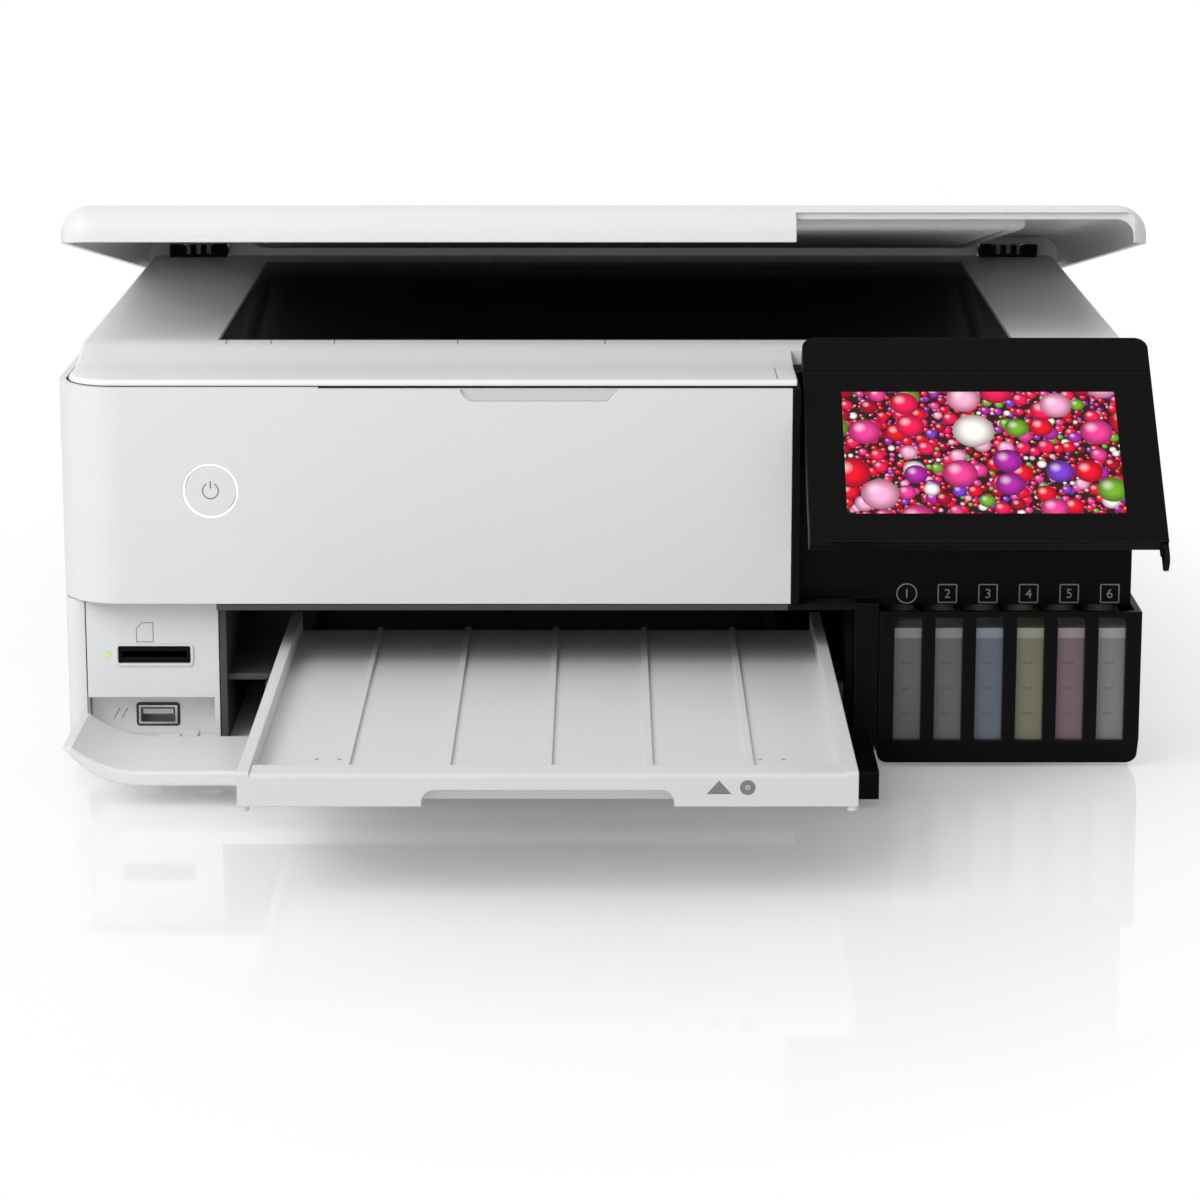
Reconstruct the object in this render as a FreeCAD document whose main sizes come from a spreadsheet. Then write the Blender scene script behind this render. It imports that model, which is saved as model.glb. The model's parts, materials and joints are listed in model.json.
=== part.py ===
"""Inkjet printer with a flatbed scanner, six ink tanks and a tilting control panel.

Millimetres, +Z up, the front towards -Y. The origin lies on the floor, under the middle of
the machine as it stands with its output tray drawn out and its lid ajar.
"""
import FreeCAD, Part
import Sketcher
import math
import os

DIMENSIONS = {
    # casing
    "wall": 2.5, "seam": 0.4, "running": 0.05, "side_gap": 0.5, "overcut": 1.0, "side_margin": 4.0,
    "foot_height": 6.0, "foot_radius": 9.0, "foot_step": 1.0, "foot_inset": 32.0,
    "edge_soft": 1.5, "floor_skin": 3.0, "base_rim": 14.0, "side_bottom": 8.0, "right_inset": 2.0,
    "corner_radius": 24.0, "corner_return": 40.0, "column_inset": 1.0, "column_radius": 6.0,
    "rear_edge_radius": 2.0,
    # scanner
    "glass_wide": 300.0, "glass_long": 216.0, "glass_thick": 3.0, "glass_ledge": 3.0,
    "bed_left": 52.0, "bed_front": 61.5, "bed_rear": 22.5,
    "bed_rise": 8.1, "bed_setback": 2.0, "bed_corner": 18.0, "bed_roll": 1.6,
    "shelf_drop": 5.6, "shelf_deep": 36.0, "ramp_rise": 15.6, "ramp_foot": 50.0, "ramp_head": 25.0,
    "notch_deep": 50.0,
    "pan_height": 19.4, "pan_inset": 4.5, "pan_setback": 6.0, "pan_skin": 2.0,
    "sensor_wide": 18.0, "sensor_tall": 17.0, "sensor_home": 4.0,
    "sensor_end_gap": 2.0, "sensor_rail_radius": 3.0, "sensor_clear": 0.5,
    # lid
    "lid_tall": 16.5, "lid_gap": 1.1, "lid_skin": 3.0, "lid_front": 34.0, "lid_open": 9.35,
    "lid_corner": 12.0, "lid_roll": 11.0, "lid_rear": 1.0, "lid_over": 1.5, "lid_fall": 0.52,
    "gate_inset": 2.6,
    "lid_axis_back": 10.0, "lid_axis_rise": 5.6,
    "mat_margin": 5.0, "mat_clear": 0.6, "hinge_inset": 20.0, "hinge_arm": 12.0,
    "hinge_ear": 6.0, "hinge_boss": 5.0, "pin_radius": 2.0,
    # rear part
    "rear_unit": 69.0, "lift_axis_back": 12.0, "lift_axis_rise": 6.0, "lift_ear": 10.0, "lift_boss": 6.0,
    "deck_front": 32.0, "trough_drop": 13.0, "chute_wide": 222.0, "chute_front": 36.0, "chute_long": 26.0,
    "feeder_thick": 4.0, "feeder_axis_back": 63.0, "feeder_barrel": 2.2, "feeder_margin": 10.0,
    "feeder_pin": 1.1, "hopper_lean": 31.7, "hopper_long": 80.0, "hopper_margin": 4.0, "hopper_drop": 2.0,
    "pickup_radius": 8.0,
    "pickup_long": 90.0, "pickup_shaft": 3.0, "pickup_down": 60.0, "screw_radius": 3.2, "screw_long": 9.0,
    "vent_count": 12.0, "vent_wide": 2.0, "vent_tall": 24.0, "vent_pitch": 4.2, "vent_inset": 22.0,
    "vent_up": 60.0, "hatch_wide": 196.0, "hatch_tall": 60.0, "hatch_up": 32.0, "hatch_groove": 1.0,
    "groove_deep": 0.8,
    # front
    "panel_wide": 128.0, "panel_long": 96.0, "panel_thick": 10.0, "panel_open": 50.0,
    "panel_axis_up": 66.4, "panel_axis_in": 8.5, "panel_corner": 5.0,
    "panel_foot": 5.0, "foot_lean": 45.0, "touch_thick": 1.5,
    "panel_reveal": 4.4, "panel_raise": 3.8, "fin_drop": 7.5, "fin_rise": 12.0, "fin_round": 3.5,
    "arm_wide": 4.0, "arm_radius": 4.0, "arm_inset": 3.0, "arm_room": 1.5,
    "pivot_radius": 1.5, "pivot_long": 8.0, "pivot_skin": 1.0, "bracket_back": 34.0, "bracket_thick": 4.0,
    "screen_wide": 100.0, "screen_long": 57.0, "screen_left": 13.8, "screen_down": 26.3,
    "screen_thick": 4.0,
    "grip_wide": 59.0, "grip_slope": 6.0, "grip_tall": 5.2, "grip_deep": 1.2, "grip_left": 148.5,
    "button_left": 57.3, "button_up": 42.5, "button_radius": 9.3, "button_deep": 6.0, "button_sink": 0.2,
    "ring_thick": 0.6, "top_gap": 0.5, "top_gap_left": 97.4,
    "button_gap": 0.25, "fascia_back": 11.0, "fascia_tall": 50.0, "fascia_inset": 3.0,
    "flank_thick": 1.5,
    "cover_reach": 51.0, "cover_thick": 5.6, "cover_bottom": 7.8, "cover_axis_back": 3.0,
    "cover_axis_up": 10.0, "cover_curl": 14.5, "cover_bend": 34.7, "curl_outer": 33.0, "curl_inner": 37.0,
    "cover_end_wide": 30.0, "cover_end_drop": 5.0,
    "cover_lug": 8.0, "cover_ear": 6.0, "cover_pin": 1.5, "cover_boss": 3.4, "cover_lug_inset": 36.0,
    "cover_tip_radius": 1.2, "cover_gap": 1.0,
    "card_setback": 10.0, "card_column": 8.5, "card_step_up": 28.0, "port_setback": 20.0,
    "slot_wide": 27.0, "slot_tall": 6.5, "slot_left": 20.5, "slot_up": 38.7, "reader_deep": 28.0,
    "reader_setback": 0.5,
    "card_wide": 24.5, "card_thick": 2.6, "port_wide": 14.5, "port_tall": 7.2, "port_left": 26.5,
    "port_up": 13.0, "port_deep": 16.0, "port_skin": 0.8, "port_proud": 1.0, "tongue_thick": 1.9,
    "lamp_radius": 1.0, "lamp_left": 4.0, "lamp_proud": 0.3, "port_cheek": 2.0,
    # paper
    "card_section": 58.5, "bay_left_room": 16.7, "bay_right_room": 3.3, "column_wide": 9.1,
    "bay_deep": 240.0, "bay_mouth": 60.0,
    "tray_wide": 204.0, "tray_reach": 170.0, "tray_long": 235.0, "tray_tall": 11.0, "tray_lip": 12.0,
    "tray_side": 4.0, "tray_floor": 2.0, "tray_floor_up": 2.5, "tray_grip": 83.0, "tray_grip_tall": 5.6,
    "tray_grip_deep": 9.6, "tray_grip_soft": 4.5,
    "tray_peg": 1.6, "tray_peg_radius": 1.8, "tray_rib": 1.2, "tray_rib_wide": 2.0, "tray_side_rise": 0.6,
    "ledge_thick": 2.3, "ledge_wide": 29.0, "ledge_setback": 4.0, "liner_rise": 1.0, "slide_gap": 0.3,
    "cassette_rib": 5.0,
    "cassette_wide": 216.0, "cassette_long": 304.0, "cassette_tall": 16.8, "cassette_setback": 10.0,
    "cassette_skin": 2.0, "rib_wide": 10.0,
    # printing
    "exit_up": 11.0, "exit_radius": 5.0, "exit_shaft": 3.0, "exit_back": 75.0, "feed_radius": 6.0,
    "feed_shaft": 4.0, "feed_back": 125.0, "platen_drop": 1.0, "panel_lift": 3.6, "platen_thick": 3.0,
    "platen_front": 84.0, "platen_deep": 32.0,
    "plate_left_gap": 5.0, "plate_right_gap": 3.5, "plate_skin": 2.0, "plate_front": 62.0,
    "back_plate": 150.0, "beam_up": 7.0, "beam_over": 6.0, "beam_return": 10.0,
    "head_gap": 1.8, "head_thick": 1.2, "head_wide": 40.0, "head_deep": 24.0, "head_front": 4.0,
    "carriage_wide": 60.0, "carriage_front": 84.0, "carriage_deep": 60.0, "carriage_tall": 49.0,
    "carriage_right": 27.5, "carriage_soft": 4.0, "rail_radius": 4.0, "rail_back": 135.0, "rail_up": 37.0,
    "rail_end": 18.5,
    "belt_wide": 5.0, "belt_thick": 1.0, "belt_up": 29.0, "belt_gap": 0.4, "pulley_radius": 6.0,
    "pulley_inset": 23.5, "motor_radius": 15.0, "motor_long": 32.0, "motor_shaft": 2.0, "shaft_hole": 0.3,
    "gear_module": 1.0, "gear_wide": 5.0, "feed_teeth": 40.0, "idler_teeth": 20.0, "exit_teeth": 20.0,
    "pinion_teeth": 18.0, "pinion_lean": 75.0, "gear_gap": 1.5, "feed_motor_radius": 11.0,
    "feed_motor_long": 18.0,
    "star_radius": 4.0, "star_thick": 1.0, "star_pitch": 30.0, "star_rise": 9.6, "star_bar": 4.0,
    "star_bar_thick": 2.0, "star_shaft": 1.0,
    "room_over_carriage": 13.0,
    # ink
    "tank_column_side": 10.7, "tank_block_bottom": 1.4, "tank_block_drop": 3.1, "tank_block_deep": 62.0,
    "tank_floor_up": 11.0, "tank_bevel_up": 10.8, "tank_bevel_in": 6.0, "tank_count": 6.0,
    "tank_corner": 4.0,
    "tank_pitch": 15.1, "tank_wide": 13.6, "tank_deep": 54.0, "tank_tall": 42.8, "window_wide": 10.2,
    "window_up": 11.2, "window_tall": 47.2, "window_side": 10.8, "neck_radius": 5.0, "neck_tall": 6.0,
    "neck_back": 37.2,
    "cap_radius": 5.8, "cap_tall": 8.0, "cap_block_wide": 52.0,
    "cap_block_drop": 0.5, "cap_lip": 1.5, "waste_wide": 70.0, "waste_deep": 100.0, "waste_tall": 36.0,
    # electrics
    "supply_wide": 50.0, "supply_deep": 105.0, "supply_tall": 41.0, "supply_rear": 24.0,
    "board_long": 150.0, "board_tall": 55.0, "board_thick": 1.6, "board_up": 52.0, "post_long": 4.0,
    "post_radius": 2.5, "inlet_wide": 22.0, "inlet_tall": 12.0, "inlet_deep": 18.0, "inlet_up": 24.0,
    "inlet_skin": 2.0, "inlet_left": 26.0, "prong_radius": 1.2, "prong_spread": 4.3,
}
TOUCH = 0.01
TRAY_RIBS = 5
# tooth form, in modules and in shares of the pitch
TOOTH_ROOT = 1.1
TOOTH_TIP = 0.75
ROOT_SHARE = 0.32
TIP_SHARE = 0.13
TURN_TO_AXIS = {
    "x": FreeCAD.Rotation(FreeCAD.Vector(0, 1, 0), 90),
    "y": FreeCAD.Rotation(FreeCAD.Vector(1, 0, 0), -90),
    "z": FreeCAD.Rotation(),
}

doc = FreeCAD.newDocument("printer")
sheet = doc.addObject("Spreadsheet::Sheet", "dims")
for row, (alias, number) in enumerate(DIMENSIONS.items(), 1):
    sheet.set(f"A{row}", alias)
    sheet.set(f"B{row}", str(number))
    sheet.setAlias(f"B{row}", alias)
doc.recompute()


def text_of(size):
    return size.text if isinstance(size, Size) else repr(size)


class Size:
    """A length worked out from the sheet: its text binds a property, its value shapes a curve."""

    def __init__(self, text, value):
        self.text = text
        self.value = value

    def __float__(self):
        return self.value

    def __add__(self, other):
        return Size(f"({self.text} + {text_of(other)})", self.value + float(other))

    def __sub__(self, other):
        return Size(f"({self.text} - {text_of(other)})", self.value - float(other))

    def __mul__(self, other):
        return Size(f"({self.text} * {text_of(other)})", self.value * float(other))

    def __truediv__(self, other):
        return Size(f"({self.text} / {text_of(other)})", self.value / float(other))

    def __neg__(self):
        return Size(f"(-{self.text})", -self.value)


class Sheet:
    """The sheet's cells as sizes, by their aliases."""

    def __getattr__(self, alias):
        return Size(f"dims.{alias}", float(sheet.get(alias)))


d = Sheet()


def cosine(angle):
    return Size(f"cos({angle.text} * 1 deg)", math.cos(math.radians(angle.value)))


def sine(angle):
    return Size(f"sin({angle.text} * 1 deg)", math.sin(math.radians(angle.value)))


def bind(item, name, size):
    item.setExpression(name, text_of(size))


def box(label, x, y, z):
    """A block between two places on each axis."""
    solid = doc.addObject("Part::Box", label)
    for name, axis, (low, high) in (("Length", "x", x), ("Width", "y", y), ("Height", "z", z)):
        bind(solid, name, high - low)
        bind(solid, f"Placement.Base.{axis}", low)
    return solid


def rod(label, axis, radius, along, at):
    """A cylinder along an axis, between two places on it, at its other two coordinates."""
    solid = doc.addObject("Part::Cylinder", label)
    solid.Placement = FreeCAD.Placement(FreeCAD.Vector(), TURN_TO_AXIS[axis])
    bind(solid, "Radius", radius)
    bind(solid, "Height", along[1] - along[0])
    places = dict(zip("xyz".replace(axis, ""), at))
    places[axis] = along[0]
    for name, place in places.items():
        bind(solid, f"Placement.Base.{name}", place)
    return solid


def fuse(label, *pieces):
    piece = doc.addObject("Part::MultiFuse", label)
    piece.Shapes = list(pieces)
    piece.Refine = True
    return piece


def cut(label, base, *tools):
    piece = doc.addObject("Part::Cut", label)
    piece.Base = base
    piece.Tool = tools[0] if len(tools) == 1 else fuse(f"{label}_tools", *tools)
    return piece


def common(label, base, tool):
    piece = doc.addObject("Part::Common", label)
    piece.Base = base
    piece.Tool = tool
    return piece


def group(label, *pieces):
    piece = doc.addObject("Part::Compound", label)
    piece.Links = list(pieces)
    return piece


def edges_at(shape, places):
    """Numbers of the edges that lie wholly at the given coordinates."""
    picked = []
    for number, edge in enumerate(shape.Edges, 1):
        room = edge.BoundBox
        spans = {"x": (room.XMin, room.XMax), "y": (room.YMin, room.YMax), "z": (room.ZMin, room.ZMax)}
        ends = [(end, float(place)) for axis, place in places.items() for end in spans[axis]]
        if all(abs(end - place) < TOUCH for end, place in ends):
            picked.append(number)
    return picked


def rounded(label, base, radius, *choices):
    """The piece with the edges that lie at any of the chosen places rounded."""
    doc.recompute()
    piece = doc.addObject("Part::Fillet", label)
    piece.Base = base
    numbers = sorted({number for places in choices for number in edges_at(base.Shape, places)})
    piece.Edges = [(number, float(radius), float(radius)) for number in numbers]
    return piece


def tilt(piece, angle, y, z):
    """Turns a piece about an axis along X through the given point."""
    piece.Placement = FreeCAD.Placement(FreeCAD.Vector(), FreeCAD.Rotation(FreeCAD.Vector(1, 0, 0), 0))
    bind(piece, "Placement.Rotation.Angle", angle)
    bind(piece, "Placement.Base.y", y - (y * cosine(angle) - z * sine(angle)))
    bind(piece, "Placement.Base.z", z - (y * sine(angle) + z * cosine(angle)))
    return piece


def lean(block, angle):
    """Turns a block about the X axis through its own low corner."""
    block.Placement = FreeCAD.Placement(block.Placement.Base,
                                        FreeCAD.Rotation(FreeCAD.Vector(1, 0, 0), 0))
    bind(block, "Placement.Rotation.Angle", angle)
    return block


def lathe(label, steps, centre, axis):
    """A body turned about an axis from a centre: steps of (length, radius) one after another."""
    body = doc.addObject("PartDesign::Body", label)
    sketch = body.newObject("Sketcher::SketchObject", f"{label}_profile")
    plane = next(item for item in body.Origin.OriginFeatures if item.Role == "XY_Plane")
    sketch.AttachmentSupport = [(plane, "")]
    sketch.MapMode = "FlatFace"
    corners = [(Size("0", 0.0), Size("0", 0.0))]
    along = Size("0", 0.0)
    for length, radius in steps:
        corners.append((along, radius))
        along = along + length
        corners.append((along, radius))
    corners.append((along, Size("0", 0.0)))
    points = [FreeCAD.Vector(float(x), float(y), 0) for x, y in corners]
    for start, end in zip(points, points[1:] + points[:1]):
        sketch.addGeometry(Part.LineSegment(start, end), False)
    for number, (x, y) in enumerate(corners):
        before = (number - 1) % len(corners)
        sketch.addConstraint(Sketcher.Constraint("Coincident", before, 2, number, 1))
        for kind, size in (("DistanceX", x), ("DistanceY", y)):
            index = sketch.addConstraint(Sketcher.Constraint(kind, -1, 1, number, 1, float(size)))
            sketch.setExpression(f"Constraints[{index}]", size.text)
    turned = body.newObject("PartDesign::Revolution", f"{label}_turned")
    turned.Profile = sketch
    turned.ReferenceAxis = (sketch, ["H_Axis"])
    turned.Angle = 360.0
    spin = {"x": FreeCAD.Rotation(), "y": FreeCAD.Rotation(FreeCAD.Vector(0, 0, 1), 90),
            "z": FreeCAD.Rotation(FreeCAD.Vector(0, 1, 0), -90)}
    body.Placement = FreeCAD.Placement(FreeCAD.Vector(), spin[axis])
    for name, place in zip("xyz", centre):
        bind(body, f"Placement.Base.{name}", place)
    return body


# Levels and places that several pieces share
bay_wide = d.bay_left_room + d.cassette_wide + d.bay_right_room
tank_number = int(float(d.tank_count))
tank_row = d.tank_pitch * (tank_number - 1)
tank_block_wide = d.tank_column_side + tank_row + d.window_side
half = (d.card_section + bay_wide + d.column_wide + tank_block_wide + d.seam + d.right_inset) / 2
bed_half = half - d.side_margin
depth = d.bed_front + d.glass_long + d.bed_rear + d.rear_unit
front = (d.tray_reach - depth) / 2
rear = front + depth
bed_back = rear - d.rear_unit
floor_top = d.foot_height + d.floor_skin
cassette_bottom = floor_top + d.cassette_rib + d.slide_gap
cassette_top = cassette_bottom + d.cassette_tall
ledge_bottom = cassette_top + d.slide_gap
ledge_top = ledge_bottom + d.ledge_thick
tray_bottom = ledge_top + d.slide_gap
tray_top = tray_bottom + d.tray_tall
exit_z = tray_top + d.exit_up
platen_top = exit_z + d.exit_radius - d.platen_drop
feed_z = platen_top - d.feed_radius
head_bottom = platen_top + d.head_gap
carriage_bottom = head_bottom + d.head_thick
carriage_top = carriage_bottom + d.carriage_tall
case_top = carriage_top + d.room_over_carriage + d.pan_height
panel_bottom = platen_top + d.panel_lift
pan_bottom = case_top - d.pan_height
bed_bottom = case_top + d.seam
bed_top = case_top + d.bed_rise
lid_rim = case_top + d.lid_gap
lid_top = lid_rim + d.lid_tall
right_side = half - d.right_inset
panel_left = half - d.panel_wide
panel_edge = panel_left - d.panel_reveal
tank_right = right_side - d.seam
tank_left = tank_right - tank_block_wide
tank_top = panel_bottom - d.tank_block_drop
bay_left = -half + d.card_section
bay_right = bay_left + bay_wide
paper_centre = bay_left + d.bay_left_room + d.cassette_wide / 2
plate_left = bay_left - d.plate_left_gap
plate_right = bay_right + d.plate_right_gap
hinge_place = bed_half - d.hinge_inset
carriage_park = right_side - d.carriage_right - d.carriage_wide
lid_axis_y = bed_back + d.lid_axis_back
lid_axis_z = bed_bottom + d.lid_axis_rise
lift_axis_y = bed_back + d.lift_axis_back
lift_axis_z = pan_bottom + d.lift_axis_rise
panel_axis_y = front + d.panel_axis_in
panel_axis_z = panel_bottom + d.seam + d.panel_axis_up
cover_axis_y = front + d.cover_axis_back
parts = []


def keep(piece):
    """Files a finished sub-part under its own label."""
    parts.append(piece)
    return piece


def build_base():
    inner_left = -half + d.wall + d.seam
    inner_right = right_side - d.wall - d.seam
    start = front + d.cover_axis_back + d.cover_boss
    back = rear - d.wall - d.seam
    pan = box("base_block", (inner_left, inner_right), (start, back),
              (d.foot_height, floor_top + d.base_rim))
    room = box("base_room", (inner_left + d.wall, inner_right - d.wall), (start - d.wall, back - d.wall),
               (floor_top, floor_top + d.base_rim * 2))
    trimmed = cut("base_shell", pan, room)
    tank_room = box("base_tank_room", (tank_left - d.seam, half), (start - d.wall, tank_back() + d.seam),
                    (d.foot_height - d.wall, floor_top + d.base_rim * 2))
    column_room = box("base_column_room", (-half, -half + d.card_column + d.seam),
                      (start - d.wall, front + d.corner_return + d.seam),
                      (d.foot_height - d.wall, floor_top + d.base_rim * 2))
    ribs = []
    for name, edge in (("left", paper_centre - d.cassette_wide / 2 + d.rib_wide),
                       ("right", paper_centre + d.cassette_wide / 2 - d.rib_wide)):
        ribs.append(box(f"base_rib_{name}", (edge - d.rib_wide / 2, edge + d.rib_wide / 2),
                        (front + d.cassette_setback, back - d.wall),
                        (floor_top, floor_top + d.cassette_rib)))
    ears = []
    for low in cover_ear_places():
        ears.append(box("cover_ear", (low, low + d.cover_ear), (front + d.side_gap, start + d.wall),
                        (d.foot_height, d.cover_axis_up + d.cover_boss)))
    whole = fuse("base_body", cut("base_open", trimmed, tank_room, column_room), *ribs, *ears)
    bore = rod("cover_bore", "x", d.cover_pin + d.running, (-half, half), (cover_axis_y, d.cover_axis_up))
    keep(cut("base_pan", whole, bore))
    feet = []
    for x in (-half + d.foot_inset, right_side - d.foot_inset):
        for y in (tank_back() + d.foot_inset, rear - d.foot_inset):
            steps = ((d.foot_height / 2, d.foot_radius - d.foot_step), (d.foot_height / 2, d.foot_radius))
            feet.append(lathe("foot", steps, (x, y, 0), "z"))
    keep(group("rubber_feet", *feet))


def tank_back():
    return front + d.tank_block_deep


def cover_lug_places():
    return (-half + d.cover_lug_inset, panel_edge - d.cover_lug_inset / 2)


def cover_ear_places():
    return tuple(low + d.cover_lug + d.side_gap for low in cover_lug_places())


def build_sides():
    column = box("left_column", (-half + d.column_inset, -half + d.card_column),
                 (front + d.card_setback, front + d.corner_return),
                 (d.side_bottom, panel_bottom - d.seam))
    column = rounded("left_column_round", column, d.column_radius,
                     {"x": -half + d.column_inset, "y": front + d.card_setback})
    wall = box("left_wall", (-half, -half + d.wall), (front + d.corner_return, rear),
               (d.side_bottom, case_top))
    wall = rounded("left_wall_round", wall, d.rear_edge_radius, {"x": -half, "y": rear})
    keep(fuse("left_side_cover", column, wall))
    wall = box("right_wall", (right_side - d.wall, right_side),
               (front + d.bracket_back + d.bracket_thick + d.wall, rear), (d.side_bottom, case_top))
    wall = rounded("right_wall_round", wall, d.rear_edge_radius, {"x": right_side, "y": rear})
    tank_gap = box("right_tank_gap", (right_side - d.wall * 2, half), (front, tank_back() + d.seam),
                   (d.side_bottom - d.overcut, tank_top + d.seam))
    keep(cut("right_side_cover", wall, tank_gap))


def hopper_foot():
    """The low end of the sheet hopper, which leans back from it."""
    top_y = rear - d.wall - d.hopper_margin
    top_z = case_top - d.wall - d.hopper_drop
    return top_y - d.hopper_long * sine(d.hopper_lean), top_z - d.hopper_long * cosine(d.hopper_lean)


def pickup_centre():
    foot_y, foot_z = hopper_foot()
    up = d.hopper_long - d.pickup_down
    out = d.pickup_radius + d.seam
    return (foot_y + up * sine(d.hopper_lean) - out * cosine(d.hopper_lean),
            foot_z + up * cosine(d.hopper_lean) + out * sine(d.hopper_lean))


def chute_sides():
    return paper_centre - d.chute_wide / 2, paper_centre + d.chute_wide / 2


def rear_vents():
    """Slots through the rear wall, side by side, over the power inlet."""
    slots = []
    for number in range(int(float(d.vent_count))):
        low = -half + d.vent_inset + d.vent_pitch * number
        slots.append(box("vent_slot", (low, low + d.vent_wide), (rear - d.wall * 2, rear + d.wall),
                         (d.vent_up, d.vent_up + d.vent_tall)))
    return slots


def hatch_groove():
    """The groove round the hatch in the rear wall: a block less a smaller one."""
    sides = paper_centre - d.hatch_wide / 2, paper_centre + d.hatch_wide / 2
    across = rear - d.groove_deep, rear + d.overcut
    top = d.hatch_up + d.hatch_tall
    outer = box("hatch_outer", sides, across, (d.hatch_up, top))
    inner = box("hatch_inner", (sides[0] + d.hatch_groove, sides[1] - d.hatch_groove),
                (across[0] - d.overcut, across[1] + d.overcut),
                (d.hatch_up + d.hatch_groove, top - d.hatch_groove))
    return cut("hatch_line", outer, inner)


def build_rear():
    low_x = -half + d.wall
    high_x = right_side - d.wall
    chute_low, chute_high = chute_sides()
    wall = box("rear_wall", (low_x, high_x), (rear - d.wall, rear), (d.side_bottom, case_top))
    deck = box("rear_deck", (low_x, high_x), (bed_back + d.deck_front, rear),
               (case_top - d.wall, case_top))
    chute = box("chute_hole", (chute_low, chute_high),
                (bed_back + d.chute_front, bed_back + d.chute_front + d.chute_long),
                (case_top - d.wall * 2, case_top + d.wall))
    trough = box("rear_trough", (low_x, high_x), (bed_back + d.seam, bed_back + d.deck_front),
                 (pan_bottom - d.trough_drop, pan_bottom - d.trough_drop + d.wall))
    brow = box("rear_brow", (low_x, high_x), (bed_back + d.deck_front - d.wall, bed_back + d.deck_front),
               (pan_bottom - d.trough_drop, case_top))
    foot_y, foot_z = hopper_foot()
    hopper = box("hopper_plate", (chute_low, chute_high), (foot_y, foot_y + d.wall),
                 (foot_z, foot_z + d.hopper_long))
    lean(hopper, -d.hopper_lean)
    axle_y, axle_z = pickup_centre()
    cheeks = []
    for name, low in (("left", chute_low - d.wall), ("right", chute_high)):
        cheeks.append(box(f"hopper_cheek_{name}", (low, low + d.wall),
                          (axle_y - d.wall * 3, rear - d.wall),
                          (foot_z, case_top - d.wall)))
    lugs = []
    pivot_y = bed_back + d.feeder_axis_back
    pivot_z = case_top + d.feeder_thick / 2 + d.seam
    for name, low in (("left", chute_low - d.feeder_margin - d.hinge_ear),
                      ("right", chute_high + d.feeder_margin + d.side_gap)):
        lugs.append(box(f"feeder_lug_{name}", (low, low + d.hinge_ear - d.side_gap),
                        (pivot_y - d.feeder_thick, rear), (case_top - d.wall, pivot_z + d.feeder_thick)))
    ears = []
    for name, low in (("left", lift_outer(-1)), ("right", lift_outer(1))):
        ears.append(box(f"lift_bracket_{name}", (low, low + d.hinge_ear),
                        (lift_axis_y - d.lift_boss, rear - d.wall),
                        (lift_axis_z - d.lift_boss, lift_axis_z + d.lift_boss)))
    body = fuse("rear_body", cut("rear_frame", fuse("rear_shell", wall, deck, trough, brow), chute),
                hopper, *cheeks, *lugs, *ears)
    holes = [
        rod("pickup_bore", "x", d.pickup_shaft + d.running, (-half, half), (axle_y, axle_z)),
        rod("feeder_bore", "x", d.feeder_pin + d.running, (-half, half), (pivot_y, pivot_z)),
        rod("lift_bore", "x", d.pin_radius + d.running, (-half, half), (lift_axis_y, lift_axis_z)),
    ]
    for x, z in screw_places():
        holes.append(rod("screw_hole", "y", d.screw_radius + d.running,
                         (rear - d.wall * 2, rear + d.wall), (x, z)))
    inlet_x, inlet_z = inlet_place()
    holes.append(box("inlet_hole", (inlet_x, inlet_x + d.inlet_wide), (rear - d.wall * 2, rear + d.wall),
                     (inlet_z, inlet_z + d.inlet_tall)))
    keep(cut("rear_housing", body, *holes, *rear_vents(), hatch_groove()))
    screws = []
    for x, z in screw_places():
        screws.append(rod("screw", "y", d.screw_radius, (rear - d.screw_long, rear - d.seam), (x, z)))
    keep(group("housing_screws", *screws))
    build_feeder(chute_low - d.feeder_margin, chute_high + d.feeder_margin, pivot_y, pivot_z)
    steps = ((d.seam + d.chute_wide / 2 - d.pickup_long / 2, d.pickup_shaft),
             (d.pickup_long, d.pickup_radius),
             (d.seam + d.chute_wide / 2 - d.pickup_long / 2, d.pickup_shaft))
    keep(lathe("pickup_roller", steps, (chute_low - d.seam, axle_y, axle_z), "x"))


def lift_outer(side):
    """Low end, along X, of the bracket that holds a scanner pin."""
    if side < 0:
        return -half + d.wall + d.seam
    return right_side - d.wall - d.seam - d.hinge_ear


def lift_inner(side):
    """Low end, along X, of the scanner pan's own ear beside that bracket."""
    if side < 0:
        return lift_outer(side) + d.hinge_ear + d.side_gap
    return lift_outer(side) - d.side_gap - d.lift_ear


def screw_places():
    low = -half + d.foot_inset / 2
    high = right_side - d.foot_inset / 2
    return [(x, z) for x in (low, high) for z in (floor_top + d.foot_inset, case_top - d.foot_inset)]


def build_feeder(low, high, pivot_y, pivot_z):
    plate = box("feeder_plate", (low, high), (bed_back + d.deck_front + d.wall, pivot_y),
                (case_top + d.seam, case_top + d.seam + d.feeder_thick))
    plate = rounded("feeder_plate_round", plate, d.feeder_thick / 3,
                    {"y": bed_back + d.deck_front + d.wall, "z": case_top + d.seam + d.feeder_thick})
    barrel = rod("feeder_barrel", "x", d.feeder_barrel, (low, high), (pivot_y, pivot_z))
    bore = rod("feeder_barrel_bore", "x", d.feeder_pin + d.running, (low, high), (pivot_y, pivot_z))
    keep(cut("feeder_cover", fuse("feeder_body", plate, barrel), bore))


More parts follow.
